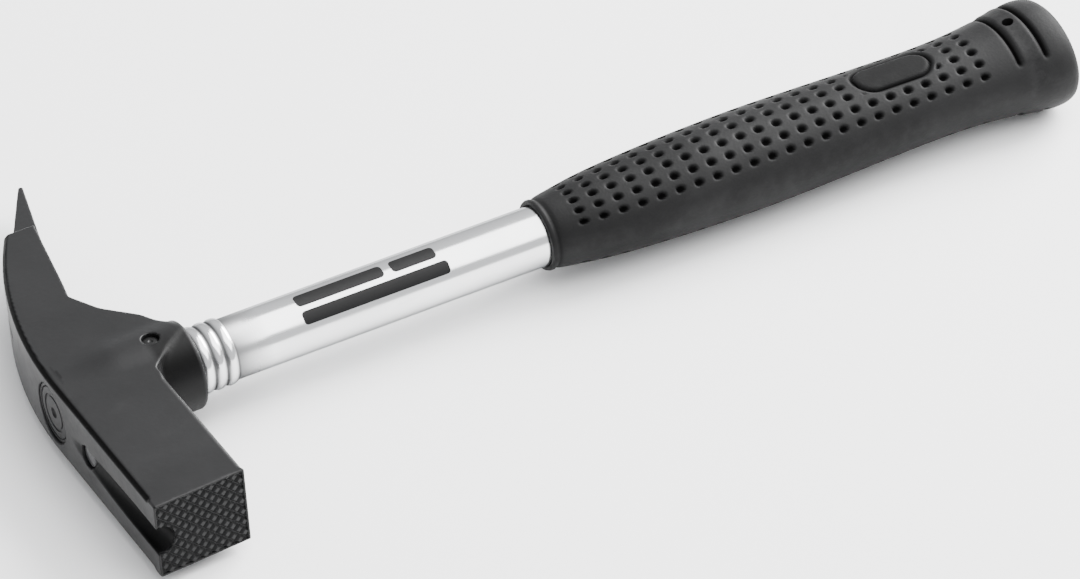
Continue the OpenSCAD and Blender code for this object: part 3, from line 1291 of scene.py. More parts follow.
    def teeth(self, material: bpy.types.Material) -> bpy.types.Object:
        """Builds the teeth of the milled face: frusta on a diagonal lattice, cut to the face's outline.

        Args:
            material: the head's finish.

        Returns:
            The teeth, as one piece.
        """
        height = self.mill_depth + self.mill_sink / 2.0
        foot = self.mill_pitch / 2.0 - self.tooth_gap
        tip = foot - height * self.mill_slope
        rule = GeometryRule("milled_teeth", {"Pitch": "Float", "Height": "Float", "Foot": "Float",
                                             "Tip": "Float", "Outline": "Object", "Groove": "Object"})
        graph = rule.graph
        count = self.teeth_in_row
        span = graph.math("MULTIPLY", rule.given("Pitch"), float(count - 1))
        lattice = graph.add("GeometryNodeMeshGrid", {"Size X": span, "Size Y": span, "Vertices X": count,
                                                     "Vertices Y": count})
        tooth = graph.add("GeometryNodeMeshCone", {"Vertices": 4, "Radius Top": rule.given("Tip"),
                                                   "Radius Bottom": rule.given("Foot"),
                                                   "Depth": rule.given("Height")})
        drop = graph.add("ShaderNodeCombineXYZ", {"Z": graph.math("MULTIPLY", rule.given("Height"), -1.0)})
        diagonal = graph.add("GeometryNodeTransform", {"Geometry": lattice.outputs["Mesh"],
                                                       "Rotation": (0.0, 0.0, math.radians(45.0)),
                                                       "Translation": drop.outputs[0]})
        spread = graph.add("GeometryNodeInstanceOnPoints", {"Points": diagonal.outputs[0],
                                                            "Instance": tooth.outputs["Mesh"]})
        real = graph.add("GeometryNodeRealizeInstances", {0: spread.outputs[0]})
        stood = graph.add("GeometryNodeTransform", {"Geometry": real.outputs[0],
                                                    "Rotation": (math.radians(90.0), 0.0, self.lean)})
        shapes = [graph.add("GeometryNodeObjectInfo", {"Object": rule.given(label)}).outputs["Geometry"]
                  for label in ("Outline", "Groove")]
        inside = graph.add("GeometryNodeMeshBoolean", operation="INTERSECT", solver="EXACT")
        graph.tree.links.new(stood.outputs[0], inside.inputs["Mesh 2"])
        graph.tree.links.new(shapes[0], inside.inputs["Mesh 2"])
        clear = graph.add("GeometryNodeMeshBoolean", {"Mesh 1": inside.outputs[0]}, operation="DIFFERENCE",
                          solver="EXACT")
        graph.tree.links.new(shapes[1], clear.inputs["Mesh 2"])
        rule.close(clear.outputs[0], material)
        inset = self.mill_rim - self.tooth_overlap
        half_x, half_z = self.under_x - inset, self.half_w - inset
        outline = [(-half_x, -half_z), (half_x, -half_z), (half_x, half_z), (-half_x, half_z)]
        face = Matrix.Rotation(self.lean, 4, "Z") @ Matrix.Rotation(math.radians(90.0), 4, "X")
        groove_x = self.top_x + self.groove_depths[0] - self.groove_r
        bite_r = self.groove_r + self.tooth_setback
        turns = np.linspace(0.0, 2.0 * math.pi, 32, endpoint=False) + math.pi / 32.0
        bite = [(groove_x + bite_r * math.cos(a), bite_r * math.sin(a)) for a in turns]
        deep = self.overrun
        cutters = [prism("face_outline", outline, 1.0 - deep, deep - 1.0, face),
                   prism("groove_mouth", bite, -deep, deep, face)]
        piece = mesh_object("head_milled_teeth", np.zeros((1, 3)), [])
        rule.run(piece, Pitch=self.mill_pitch * MM, Height=height * MM, Foot=foot * math.sqrt(2.0) * MM,
                 Tip=tip * math.sqrt(2.0) * MM, Outline=cutters[0], Groove=cutters[1])
        for cutter in cutters:
            bpy.data.meshes.remove(cutter.data)
        heal_cut(piece)
        set_attribute(piece, "edge", np.full(len(piece.data.vertices), self.tooth_wear))
        return piece

    def build(self) -> None:
        """Builds and dresses the head."""
        material = self.finish.material(self.effects)
        body = self.body()
        body.data.materials.append(material)
        teeth = self.teeth(material)
        for piece in (body, teeth):
            dress(piece, self.finish.slot, "head")


def dress(piece: bpy.types.Object, slot: str, *nodes: str) -> None:
    """Ties a finished piece to the frame and reports it.

    Args:
        piece: the finished piece.
        slot: the finish slot it wears.
        nodes: the frame nodes it stands for.
    """
    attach(piece, BODY)
    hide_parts(*nodes)
    LOG.info("%s: %d faces for %s, slot %s", piece.name, len(piece.data.polygons), ", ".join(nodes), slot)


def crisp(piece: bpy.types.Object, material: bpy.types.Material, angle: float = 40.0) -> bpy.types.Object:
    """Gives a turned piece its material, and keeps its corners sharp beyond an angle.

    Args:
        piece: the piece.
        material: its finish.
        angle: the least angle of a sharp corner, in degrees.

    Returns:
        The same piece.
    """
    piece.data.materials.append(material)
    piece.data.set_sharp_from_angle(angle=math.radians(angle))
    return piece


# ---------------------------------------------------------------- turned parts


@dataclass
class EyeFittings:
    """The slug in the eye, the cross pin through it and the nail magnet."""

    plan: Plan
    effects: Effects
    chamfer: float = 0.5
    dimple_r: float = 1.4
    plug_steel: TurnedSteel = TurnedSteel("plug_phosphate", "plug_steel", (0.012, 0.012, 0.0125), 0.5,
                                          metallic=0.1, grain_depth=0.15, gloss=0.25)
    pin_steel: TurnedSteel = TurnedSteel("pin_black", "pin_steel", (0.006, 0.006, 0.0062), 0.45,
                                         metallic=0.1, grain_depth=0.15, gloss=0.25, ring_pitch=0.5)
    magnet_steel: TurnedSteel = TurnedSteel("magnet_nickel", "magnet_steel", (0.06, 0.06, 0.062), 0.38,
                                            metallic=0.7, grain_depth=0.1, ring_pitch=0.7)

    def plug(self) -> bpy.types.Object:
        """The solid slug, with a turned step, a lathe centre and chamfered ends.

        Returns:
            The part.
        """
        low, high = self.plan.plug
        r, start, end, c = float(high[2]), float(low[0]), float(high[0]), self.chamfer
        profile = [(start + 1.1, 0.35), (start + 0.5, self.dimple_r), (start, self.dimple_r + 0.3),
                   (start, r * 0.62), (start + 0.35, r * 0.64), (start + 0.35, r * 0.72), (start, r * 0.74),
                   (start, r - c), (start + c * 0.3, r - c * 0.3), (start + c, r), (end - c, r),
                   (end, r - c), (end, 1.0)]
        piece = turned("eye_plug_slug", self.plan.handle, profile, 96)
        finish = TurnedSteel(**{**self.plug_steel.__dict__,
                                "centre": (start * MM, self.plan.eye_y * MM, 0.0)})
        return crisp(piece, finish.material(self.effects), 25.0)

    def pin(self) -> bpy.types.Object:
        """The cross pin, peened slightly over at both ends.

        Returns:
            The part.
        """
        low, high = self.plan.pin
        x, r, reach = float(low[0] + high[0]) / 2.0, float(high[0] - low[0]) / 2.0, float(high[2])
        half = [(reach - 0.9, r), (reach - 0.35, r * 0.97), (reach - 0.1, r * 0.86), (reach, r * 0.6),
                (reach, r * 0.3), (reach - 0.25, r * 0.2), (reach - 0.3, r * 0.05)]
        profile = [(-distance, radius) for distance, radius in reversed(half)] + half
        axis = Axis((x, self.plan.eye_y, 0.0), (0.0, 0.0, 1.0), (1.0, 0.0, 0.0))
        piece = turned("cross_pin_peened", axis, profile, 64)
        finish = TurnedSteel(**{**self.pin_steel.__dict__,
                                "centre": (x * MM, self.plan.eye_y * MM, reach * MM)})
        return crisp(piece, finish.material(self.effects))

    def magnet(self) -> bpy.types.Object:
        """The disc magnet at the back of the nail groove.

        Returns:
            The part.
        """
        low, high = self.plan.magnet
        y, r = middle_and_half((low, high), 1)
        start, end = float(low[0]), float(high[0])
        profile = [(start, r * 0.2), (start, r - 0.6), (start + 0.12, r - 0.3), (start + 0.45, r - 0.06),
                   (end - 0.3, r - 0.06), (end, r - 0.4), (end, r * 0.2)]
        axis = Axis((0.0, y, 0.0), (1.0, 0.0, 0.0), (0.0, -1.0, 0.0))
        piece = turned("nail_magnet_disc", axis, profile, 72)
        finish = TurnedSteel(**{**self.magnet_steel.__dict__, "centre": (start * MM, y * MM, 0.0)})
        return crisp(piece, finish.material(self.effects))

    def build(self) -> None:
        """Builds and dresses the three parts."""
        dress(self.plug(), self.plug_steel.slot, "eye_plug")
        dress(self.pin(), self.pin_steel.slot, "cross_pin")
        dress(self.magnet(), self.magnet_steel.slot, "nail_magnet")


@dataclass
class HandleTube:
    """The chromed tube with three rolled beads, its moulded end plug and its printed bars."""

    plan: Plan
    effects: Effects
    wall: float = 1.2
    bead_count: int = 3
    bead_pitch: float = 3.65
    bead_gap: float = 0.6
    bead_h: float = 0.8
    crease_half: float = 0.75
    film_t: float = 0.06
    film_gap: float = 0.005
    film_corner: float = 0.3
    bars: tuple[tuple[str, float, float, float, float], ...] = (
        ("label_bar", 0.0, 46.0, 4.0, 43.0), ("label_line_long", 0.0, 27.5, 4.4, 80.0),
        ("label_line_short", 30.0, 14.0, 4.4, 80.0))
    chrome: ChromePlate = ChromePlate("tube_chrome", "tube_chrome", (0.86, 0.865, 0.87), 0.16, metallic=1.0,
                                      grain_scale=500.0, grain_depth=0.05)
    overspray: BlackCoating = BlackCoating("tube_end_black", "tube_chrome", (0.007, 0.007, 0.0073), 0.5,
                                           gloss=0.2, grain_depth=0.2)
    plastic: PlainMould = PlainMould("plug_plastic", "plug_plastic", (0.03, 0.03, 0.032), 0.5)
    ink: PlainMould = PlainMould("print_film", "print_film", (0.004, 0.004, 0.0042), 0.45, gloss=0.15,
                                 grain_depth=0.01)

    def __post_init__(self) -> None:
        """Reads the tube's sizes from the frame."""
        self.bore_r = float(self.plan.plug[1][2])
        self.r = self.bore_r + self.wall

    def tube(self) -> bpy.types.Object:
        """The tube: its outside with the beads, then back along its bore.

        Returns:
            The tube.
        """
        low, high = self.plan.tube
        start, end = float(low[0]), float(high[0])
        half = self.bead_pitch / 2.0
        bead_r = (half * half + self.bead_h ** 2) / (2.0 * self.bead_h)
        turn = math.degrees(math.asin(half / bead_r))
        profile = [(start, self.bore_r + 0.3), (start, self.r - 0.3), (start + 0.1, self.r - 0.1),
                   (start + 0.3, self.r)]
        first = float(self.plan.head[1][0]) + self.bead_gap
        for number in range(self.bead_count):
            centre = (first + (number + 0.5) * self.bead_pitch, self.r + self.bead_h - bead_r)
            profile += arc_points(90.0 + turn, 90.0 - turn, 15, centre, bead_r)[1:-1]
        after = first + self.bead_count * self.bead_pitch
        profile += [(x, self.r) for x in np.linspace(after + 0.4, end - 0.4, 25)]
        profile += [(end, self.r - 0.4), (end, self.bore_r + 0.3), (end - 0.3, self.bore_r),
                    (start + 0.4, self.bore_r)]
        piece = turned("handle_tube_drawn", self.plan.handle, profile, 160, hollow=True)
        crisp(piece, self.chrome.material(self.effects), 50.0)
        self._shade_creases(piece, first)
        piece.data.materials.append(self.overspray.material(self.effects))
        for face in piece.data.polygons:
            if face.center.x < (start + 0.5) * MM:
                face.material_index = 1
        return piece

    def _shade_creases(self, piece: bpy.types.Object, first: float) -> None:
        """Marks the creases between the beads, where shade is painted.

        Args:
            piece: the tube.
            first: distance along the handle to the start of the first bead.
        """
        points = np.array([point.co for point in piece.data.vertices]) / MM
        beads = (points[:, 0] - first) / self.bead_pitch
        off = (beads - np.round(beads)) * self.bead_pitch
        near = (beads > -0.5) & (beads < self.bead_count + 0.5)
        outside = np.hypot(points[:, 1] - self.plan.eye_y, points[:, 2]) > self.r - 0.2
        set_attribute(piece, "cavity", np.exp(-(off / self.crease_half) ** 2) * near * outside)

    def end_plug(self) -> bpy.types.Object:
        """The plug in the grip end of the tube: a ribbed stem under a rounded cap.

        Returns:
            The plug.
        """
        low, high = self.plan.end_plug
        start, end, cap = float(low[0]), float(high[0]), float(self.plan.tube[1][0])
        profile = [(start, 1.0), (start, self.bore_r - 1.6), (start + 1.4, self.bore_r - 0.3)]
        for rib in np.arange(start + 2.2, cap - 2.0, 2.4):
            profile += [(rib, self.bore_r - 0.5), (rib + 0.5, self.bore_r), (rib + 1.1, self.bore_r),
                        (rib + 1.6, self.bore_r - 0.5)]
        profile += [(cap, self.bore_r - 0.1), (cap, self.r - 0.25), (cap + 0.3, self.r - 0.02),
                    (end - 0.7, self.r - 0.1), (end - 0.15, self.r - 0.8), (end, self.r - 2.0), (end, 1.0)]
        piece = turned("tube_end_plug_ribbed", self.plan.handle, profile, 96)
        return crisp(piece, self.plastic.material(self.effects), 30.0)

    def printed_bar(self, name: str, x: float, length: float, width: float, turn: float,
                    material: bpy.types.Material) -> bpy.types.Object:
        """One printed bar: a thin curved patch with rounded ends.

        Args:
            name: the piece's name.
            x: its start along the handle.
            length: its length.
            width: its width round the tube.
            turn: its place round the tube, in degrees from the striking side to the upper cheek.
            material: its finish.

        Returns:
            The closed patch.
        """
        corner_r, columns = width * self.film_corner, 12
        stations = [corner_r * (1.0 - math.cos(math.radians(a))) for a in np.linspace(0.0, 90.0, 7)]
        stations = [0.02] + stations[1:]
        stations += [length - station for station in reversed(stations)]
        points = []
        for radius in (self.r + self.film_gap, self.r + self.film_t):
            for station in stations:
                inset = max(corner_r - min(station, length - station), 0.0)
                half = width / 2.0 - corner_r + math.sqrt(max(corner_r ** 2 - inset ** 2, 0.0))
                for share in np.linspace(-1.0, 1.0, columns):
                    angle = math.radians(turn) + share * half / self.r
                    points.append((x + station, self.plan.eye_y - radius * math.cos(angle),
                                   radius * math.sin(angle)))
        rows = len(stations)
        layer = rows * columns
        faces: list[Sequence[int]] = []
        for i in range(rows - 1):
            for k in range(columns - 1):
                a = i * columns + k
                faces += [(a, a + 1, a + columns + 1, a + columns),
                          (layer + a, layer + a + columns, layer + a + columns + 1, layer + a + 1)]
        border = [k for k in range(columns)] + [(i + 1) * columns - 1 for i in range(1, rows)]
        border += [(rows - 1) * columns + k for k in range(columns - 2, -1, -1)]
        border += [i * columns for i in range(rows - 2, 0, -1)]
        for a, b in zip(border, border[1:] + border[:1]):
            faces.append((b, a, layer + a, layer + b))
        return crisp(mesh_object(name, np.array(points), faces), material)

    def build(self) -> None:
        """Builds and dresses the tube, its plug and its print."""
        dress(self.tube(), self.chrome.slot, "handle_tube")
        dress(self.end_plug(), self.plastic.slot, "tube_end_plug")
        ink = self.ink.material(self.effects)
        start = float(self.plan.label[0][0])
        for name, offset, length, width, turn in self.bars:
            bar = self.printed_bar(name, start + offset, length, width, turn, ink)
            dress(bar, self.ink.slot, "tube_label")


# ---------------------------------------------------------------- the grip


@dataclass
class RubberGrip:
    """The moulded grip: a waisted sleeve with rows of pits, a smooth panel and two butt rings."""

    plan: Plan
    effects: Effects
    stations: tuple[tuple[float, float, float], ...] = (
        (0.0, 10.3, 10.2), (6.0, 11.6, 10.8), (18.0, 14.1, 11.8), (32.0, 15.6, 12.5), (50.0, 16.5, 13.2),
        (71.0, 16.9, 13.5), (92.0, 16.4, 13.2), (111.0, 15.8, 12.8), (129.0, 15.5, 12.5),
        (143.0, 16.0, 12.9), (157.0, 17.6, 14.2), (162.0, 18.6, 15.0), (167.5, 19.0, 15.3),
        (171.5, 17.6, 14.1), (173.0, 14.0, 11.2))
    sides: int = 212
    ring_step: float = 0.6
    tube_r: float = 9.0
    hang_r: float = 1.75
    hang_inset: float = 15.0
    panel_at: float = 118.0
    panel_half: tuple[float, float] = (12.5, 6.0)
    panel_groove: tuple[float, float] = (0.9, 0.6)
    panel_swell: tuple[float, float] = (0.1, 1.5)
    # how strongly shade is painted over the smooth panel
    panel_painted_shade: float = 0.4
    ring_places: tuple[float, float] = (154.0, 162.3)
    ring_groove: tuple[float, float] = (1.1, 0.65)
    ring_flank: tuple[float, float] = (55.0, 49.0)
    band_swell: float = 0.25
    band_edge: tuple[float, float] = (3.4, 2.55)
    lip_swell: tuple[float, float, float] = (0.9, 0.35, 0.7)
    lip_groove: tuple[float, float, float] = (2.4, 0.35, 0.6)
    side_rub: tuple[float, float, float] = (0.35, 62.0, 82.0)
    band_rub: tuple[float, float] = (0.5, 3.0)
    # depths over which shade is painted into the grooves
    painted_shade_depths: tuple[float, float] = (0.1, 0.8)
    pit_pitch: float = 6.0
    pit_turn: float = 17.0
    pit_first: float = 10.5
    pit_half: tuple[float, float] = (1.38, 1.12)
    pit_depth: float = 1.1
    pit_columns: int = 23
    pit_rows_a_side: int = 3
    pit_girth_r: float = 15.5
    pit_power: float = 2.5
    pit_wall: tuple[float, float] = (0.35, 1.15)
    pit_margin: tuple[float, float] = (1.6, 2.2)
    finish: MouldedRubber = MouldedRubber("grip_rubber", "grip_rubber", (0.0055, 0.0055, 0.0057), 0.62,
                                          grain_scale=1500.0, grain_depth=0.3, gloss=0.12)

    def __post_init__(self) -> None:
        """Finds the middle of the band between the two rings."""
        self.band_at = sum(self.ring_places) / 2.0

    def half_sizes(self, along: Array) -> Array:
        """Half depth and half thickness at distances from the mouth, on a smooth curve.

        Args:
            along: distances from the mouth.

        Returns:
            A half depth and a half thickness for each distance.
        """
        table = np.array(self.stations)
        slopes = np.zeros((len(table), 2))
        slopes[1:-1] = (table[2:, 1:] - table[:-2, 1:]) / (table[2:, 0] - table[:-2, 0])[:, None]
        at = np.clip(np.searchsorted(table[:, 0], along, side="right") - 1, 0, len(table) - 2)
        width = (table[at + 1, 0] - table[at, 0])[:, None]
        s = (along - table[at, 0])[:, None] / width
        return (table[at, 1:] * (2 * s + 1) * (s - 1) ** 2 + table[at + 1, 1:] * s * s * (3 - 2 * s)
                + width * (slopes[at] * s * (s - 1) ** 2 + slopes[at + 1] * s * s * (s - 1)))

    def panel_distance(self, along: Array, across: Array) -> Array:
        """Distance to the outline of the smooth panel, negative inside it.

        Args:
            along: distances from the mouth.
            across: distances round the grip from the middle of its flat side.

        Returns:
            The distances, negative inside.
        """
        half_l, half_w = self.panel_half
        dx = np.abs(along - self.panel_at) - (half_l - half_w)
        return np.hypot(np.maximum(dx, 0.0), across) - half_w

    def relief(self, along: Array, turn: Array, across: Array) -> Array:
        """How far each point lies below the plain curve, before the pits are pressed in.

        Args:
            along: distance from the mouth.
            turn: degrees round the grip from the striking side, on either side.
            across: distance round the grip from the middle of its flat side.

        Returns:
            The depths in millimetres.
        """
        depth = np.zeros(np.broadcast(along, turn).shape)
        outline = self.panel_distance(along, across)
        depth += self.panel_groove[0] * bell(outline, self.panel_groove[1])
        depth -= self.panel_swell[0] * ramp(-outline, 0.0, self.panel_swell[1])
        flank = ramp(np.abs(turn - 90.0), *self.ring_flank)
        for place in self.ring_places:
            depth += self.ring_groove[0] * flank * bell(along - place, self.ring_groove[1])
        depth -= self.band_swell * flank * ramp(np.abs(along - self.band_at), *self.band_edge)
        lip_at, lip, lip_half = self.lip_swell
        depth -= lip * bell(along - lip_at, lip_half, 4)
        lip_at, lip, lip_half = self.lip_groove
        return depth + lip * bell(along - lip_at, lip_half)

    def sleeve(self) -> bpy.types.Object:
        """The sleeve's skin, its mouth and the bore round the tube, as one closed mesh.

        Returns:
            The sleeve.
        """
        length = self.stations[-1][0]
        along = np.concatenate([np.arange(0.15, 166.0, self.ring_step), np.linspace(166.2, length - 2.0, 10),
                                length - 1.5 * np.array([0.8, 0.55, 0.35, 0.18, 0.06, 0.0])])
        turn = np.linspace(0.0, 360.0, self.sides, endpoint=False)
        sizes = self.half_sizes(along)
        radians = np.radians(turn)[None, :]
        folded = 180.0 - np.abs(turn - 180.0)[None, :]
        across = np.radians(np.abs(folded - 90.0)) * sizes[:, :1]
        inward = self.relief(along[:, None], folded, across)
        normal = np.stack([np.cos(radians) / sizes[:, :1], np.sin(radians) / sizes[:, 1:]], axis=2)
        normal /= np.linalg.norm(normal, axis=2, keepdims=True)
        y = -(sizes[:, :1] * np.cos(radians) - inward * normal[:, :, 0])
        z = -(sizes[:, 1:] * np.sin(radians) - inward * normal[:, :, 1])
        start, end = float(self.plan.grip[0][0]), float(self.plan.grip[1][0])
        stretch = (end - start) / length
        x = np.broadcast_to(start + along[:, None] * stretch, y.shape)
        skin = np.stack([x, y + self.plan.eye_y, z], axis=2)
        bore_end = float(self.plan.end_plug[1][0])
        axis = Axis((0.0, self.plan.eye_y, 0.0), (1.0, 0.0, 0.0), (0.0, -1.0, 0.0))
        inner = [(bore_end, self.tube_r), (start + 0.6, self.tube_r), (start + 0.1, self.tube_r + 0.35)]
        rings = [axis.ring(distance, radius, self.sides) for distance, radius in inner]
        points = np.vstack([*rings, skin.reshape(-1, 3),
                            [[bore_end, self.plan.eye_y, 0.0], [end, self.plan.eye_y, 0.0]]])
        total = len(rings) + len(along)
        faces: list[Sequence[int]] = list(ring_faces(total, self.sides))
        last, far = (total - 1) * self.sides, total * self.sides
        faces += [(far, (k + 1) % self.sides, k) for k in range(self.sides)]
        faces += [(far + 1, last + k, last + (k + 1) % self.sides) for k in range(self.sides)]
        piece = mesh_object("grip_sleeve_moulded", points, faces)
        lead = len(rings) * self.sides
        self._mark(piece, lead, along, folded, across, len(points))
        return piece

    def _mark(self, piece: bpy.types.Object, lead: int, along: Array, folded: Array, across: Array,
              count: int) -> None:
        """Stores where each point lies, for the pits, the wear and the painted shade.

        Args:
            piece: the sleeve.
            lead: number of points before the skin's first.
            along: distance from the mouth to each ring of points.
            folded: degrees round the grip from the striking side, on either side.
            across: distance round the grip from the middle of its flat side.
            count: number of points in the piece.
        """
        shape = (len(along), self.sides)
        place = np.broadcast_to(along[:, None], shape)
        outline = self.panel_distance(place, across)
        pitted = ramp(outline, *self.pit_margin)
        rub, rub_start, rub_full = self.side_rub
        rubbed = rub * ramp(np.abs(folded - 90.0), rub_start, rub_full) * np.ones(shape)
        rubbed += self.band_rub[0] * bell(place - self.band_at, self.band_rub[1], 4)
        # painted shade: darker in the panel's groove, the ring grooves and the lip groove, and over the
        # smooth panel
        shade_mask = ramp(self.relief(along[:, None], folded, across), *self.painted_shade_depths)
        shade_mask = np.maximum(shade_mask, self.panel_painted_shade * ramp(-outline, 0.0, self.panel_swell[1]))
        for name, values in (("along", place), ("around", np.broadcast_to(folded, shape)), ("cavity", shade_mask),
                             ("pitted", pitted), ("edge", np.clip(rubbed, 0.0, 1.0))):
            padded = np.zeros(count)
            padded[lead:lead + values.size] = values.ravel()
            set_attribute(piece, name, padded)

    def press_pits(self, piece: bpy.types.Object, material: bpy.types.Material) -> None:
        """Presses the rows of pits into the skin and paints shade into them.

        Args:
            piece: the sleeve.
            material: its finish.
        """
        names = ("Pitch", "Turn", "First", "Depth", "Length", "Width")
        rule = GeometryRule("grip_pits", {name: "Float" for name in names})
        graph = rule.graph

        def value(name: str) -> Socket:
            """Reads one stored number at each point.

            Args:
                name: the number's name.

            Returns:
                The number.
            """
            node = graph.add("GeometryNodeInputNamedAttribute", {"Name": name}, data_type="FLOAT")
            return node.outputs[0]

        along = graph.math("SUBTRACT", value("along"), rule.given("First"))
        column = graph.math("ROUND", graph.math("DIVIDE", along, rule.given("Pitch")))
        column = graph.math("MINIMUM", graph.math("MAXIMUM", column, 0.0), float(self.pit_columns - 1))
        off_x = graph.math("SUBTRACT", along, graph.math("MULTIPLY", column, rule.given("Pitch")))
        turn = graph.math("SUBTRACT", value("around"), 90.0)
        row = graph.math("ROUND", graph.math("DIVIDE", turn, rule.given("Turn")))
        outer = float(self.pit_rows_a_side)
        row = graph.math("MINIMUM", graph.math("MAXIMUM", row, -outer), outer)
        off_turn = graph.math("SUBTRACT", turn, graph.math("MULTIPLY", row, rule.given("Turn")))
        off_y = graph.math("MULTIPLY", off_turn, math.radians(self.pit_girth_r))
        reaches = []
        for offset, half in ((off_x, "Length"), (off_y, "Width")):
            share = graph.math("ABSOLUTE", graph.math("DIVIDE", offset, rule.given(half)))
            reaches.append(graph.math("POWER", share, self.pit_power))
        mask = graph.span(graph.math("ADD", *reaches), *self.pit_wall, 1.0, 0.0)
        depth = graph.math("MULTIPLY", graph.math("MULTIPLY", mask, value("pitted")), rule.given("Depth"))
        inward = graph.add("ShaderNodeVectorMath", {0: graph.add("GeometryNodeInputNormal").outputs[0]},
                           operation="SCALE")
        graph.feed(inward.inputs["Scale"], graph.math("MULTIPLY", depth, -1.0))
        moved = graph.add("GeometryNodeSetPosition", {"Geometry": rule.given("Geometry"),
                                                      "Offset": inward.outputs[0]})
        # painted shade: the pits are darkened as well
        shade_mask = graph.math("MAXIMUM", value("cavity"), graph.math("MULTIPLY", mask, value("pitted")))
        noted = graph.add("GeometryNodeStoreNamedAttribute", {"Geometry": moved.outputs[0], "Name": "cavity",
                                                              "Value": shade_mask}, data_type="FLOAT")
        rule.close(noted.outputs[0], material)
        rule.run(piece, Pitch=self.pit_pitch, Turn=self.pit_turn, First=self.pit_first,
                 Depth=self.pit_depth * MM, Length=self.pit_half[0], Width=self.pit_half[1])

    def bore_hang_hole(self, piece: bpy.types.Object) -> None:
        """Cuts the hanging hole through the butt.

        Args:
            piece: the sleeve.
        """
        x = float(self.plan.grip[1][0]) - self.hang_inset
        axis = Axis((x, self.plan.eye_y, 0.0), (0.0, 0.0, 1.0), (1.0, 0.0, 0.0))
        reach = 2.0 * self.hang_inset
        drill = turned("drill", axis, [(-reach, self.hang_r), (reach, self.hang_r)], 40)
        cut = piece.modifiers.new("hang_hole", "BOOLEAN")
        cut.operation, cut.solver, cut.object = "DIFFERENCE", "EXACT", drill
        bake_modifiers(piece)
        bpy.data.meshes.remove(drill.data)

    def build(self) -> None:
        """Builds and dresses the grip."""
        material = self.finish.material(self.effects)
        piece = self.sleeve()
        self.press_pits(piece, material)
        self.bore_hang_hole(piece)
        piece.data.materials.clear()
        crisp(piece, material, 60.0)
        dress(piece, self.finish.slot, "grip_sleeve")


# ---------------------------------------------------------------- studio


class LightRole(Enum):
    """What each lamp in the studio is for."""

    KEY = "key"
    OVERHEAD = "overhead"


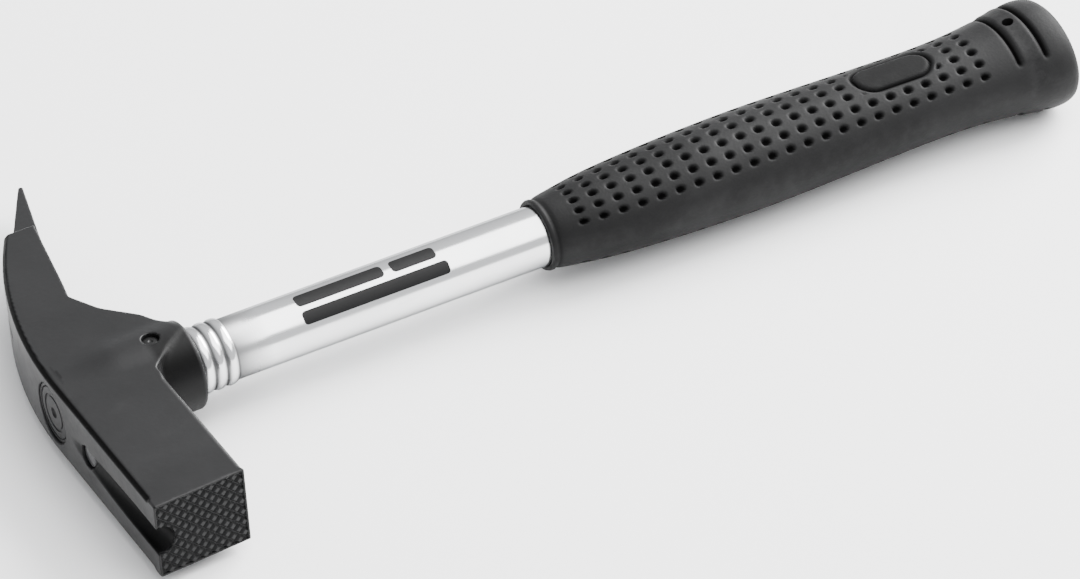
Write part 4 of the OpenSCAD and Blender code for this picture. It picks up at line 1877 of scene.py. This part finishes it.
@dataclass(frozen=True)
class Lamp:
    """An area lamp: the direction it stands in, its distance, size and power."""

    role: LightRole
    direction: tuple[float, float, float]
    distance: float
    size: float
    watts: float

    def place(self, target: Vector) -> None:
        """Adds the lamp, facing the hammer.

        Args:
            target: what the lamp faces.
        """
        data = bpy.data.lights.new(self.role.value, "AREA")
        data.shape, data.size, data.energy = "SQUARE", self.size, self.watts
        lamp = bpy.data.objects.new(self.role.value, data)
        bpy.context.scene.collection.objects.link(lamp)
        toward = Vector(self.direction).normalized()
        lamp.location = target + toward * self.distance
        lamp.rotation_euler = toward.to_track_quat("Z", "Y").to_euler()
        lamp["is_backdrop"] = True


@dataclass
class Studio:
    """A pale floor, soft lamps and a long lens."""

    lens: float = 200.0
    sensor: float = 36.0
    clips: tuple[float, float] = (0.05, 50.0)
    azimuth: float = -26.57
    elevation: float = 36.41
    roll: float = -3.79
    distance: float = 1697.9
    aim: tuple[float, float, float] = (132.79, 55.29, -10.05)
    floor_r: float = 12.0
    lamps: tuple[Lamp, ...] = (
        Lamp(LightRole.KEY, (0.85, 0.25, 0.55), 2.4, 1.7, 235.0),
        Lamp(LightRole.OVERHEAD, (0.37, -0.25, 0.9), 1.2, 1.5, 35.0))

    def floor(self, low_z: float) -> None:
        """Lays a round pale floor under the hammer.

        Args:
            low_z: height of the lowest point of the hammer.
        """
        count = 96
        turns = np.linspace(0.0, 2.0 * math.pi, count, endpoint=False)
        rim = np.stack([np.cos(turns), np.sin(turns), np.zeros(count)], axis=1) * self.floor_r / MM
        piece = mesh_object("studio_floor", rim + [0.0, 0.0, low_z], [tuple(range(count))])
        material = bpy.data.materials.new("studio_paper")
        material.use_nodes = True
        graph = Graph(material.node_tree)
        shader = material.node_tree.nodes["Principled BSDF"]
        place = graph.add("ShaderNodeTexCoord").outputs["Object"]
        cloud = graph.add("ShaderNodeTexNoise", {"Vector": place, "Scale": 3.0, "Detail": 2.0})
        shade = graph.blend(cloud.outputs[0], (0.94, 0.94, 0.94), (0.96, 0.96, 0.96))
        graph.feed(shader.inputs["Base Color"], shade)
        graph.feed(shader.inputs["Roughness"], 0.9)
        graph.feed(shader.inputs["Specular IOR Level"], 0.1)
        piece.data.materials.append(material)
        piece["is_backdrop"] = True

    def world(self, strength: float = 1.0) -> None:
        """Fills the room with even pale light.

        Args:
            strength: how bright the walls are.
        """
        world = bpy.data.worlds.new("studio_room")
        world.use_nodes = True
        background = world.node_tree.nodes["Background"]
        background.inputs["Color"].default_value = (0.97, 0.98, 1.0, 1.0)
        background.inputs["Strength"].default_value = strength
        bpy.context.scene.world = world

    def camera(self) -> None:
        """Stands the camera at its angle, rolled a little."""
        azimuth, elevation, roll = (math.radians(v) for v in (self.azimuth, self.elevation, self.roll))
        back = Vector((math.sin(azimuth) * math.cos(elevation), -math.cos(azimuth) * math.cos(elevation),
                       math.sin(elevation)))
        right = Vector((0.0, 0.0, 1.0)).cross(back).normalized()
        up = back.cross(right)
        side, top = right * math.cos(roll) + up * math.sin(roll), up * math.cos(roll) - right * math.sin(roll)
        data = bpy.data.cameras.new("studio_camera")
        data.lens, data.sensor_width = self.lens, self.sensor
        data.clip_start, data.clip_end = self.clips
        camera = bpy.data.objects.new("studio_camera", data)
        bpy.context.scene.collection.objects.link(camera)
        place = Matrix((side, top, back)).transposed().to_4x4()
        place.translation = (Vector(self.aim) + back * self.distance) * MM
        camera.matrix_world = place
        bpy.context.scene.camera = camera

    def build(self, low_z: float) -> None:
        """Sets the whole studio up.

        Args:
            low_z: height of the lowest point of the hammer.
        """
        self.floor(low_z)
        self.world()
        for lamp in self.lamps:
            lamp.place(Vector(self.aim) * MM)
        self.camera()


def main() -> None:
    """Builds the hammer and the studio."""
    logging.basicConfig(level=logging.INFO, format="%(name)s: %(message)s")
    effects, plan = Effects(), Plan()
    for part in (ForgedHead(plan, effects), EyeFittings(plan, effects), HandleTube(plan, effects),
                 RubberGrip(plan, effects)):
        part.build()
    low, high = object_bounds()
    Studio().build(low.z / MM)


if __name__ == "__main__":
    main()
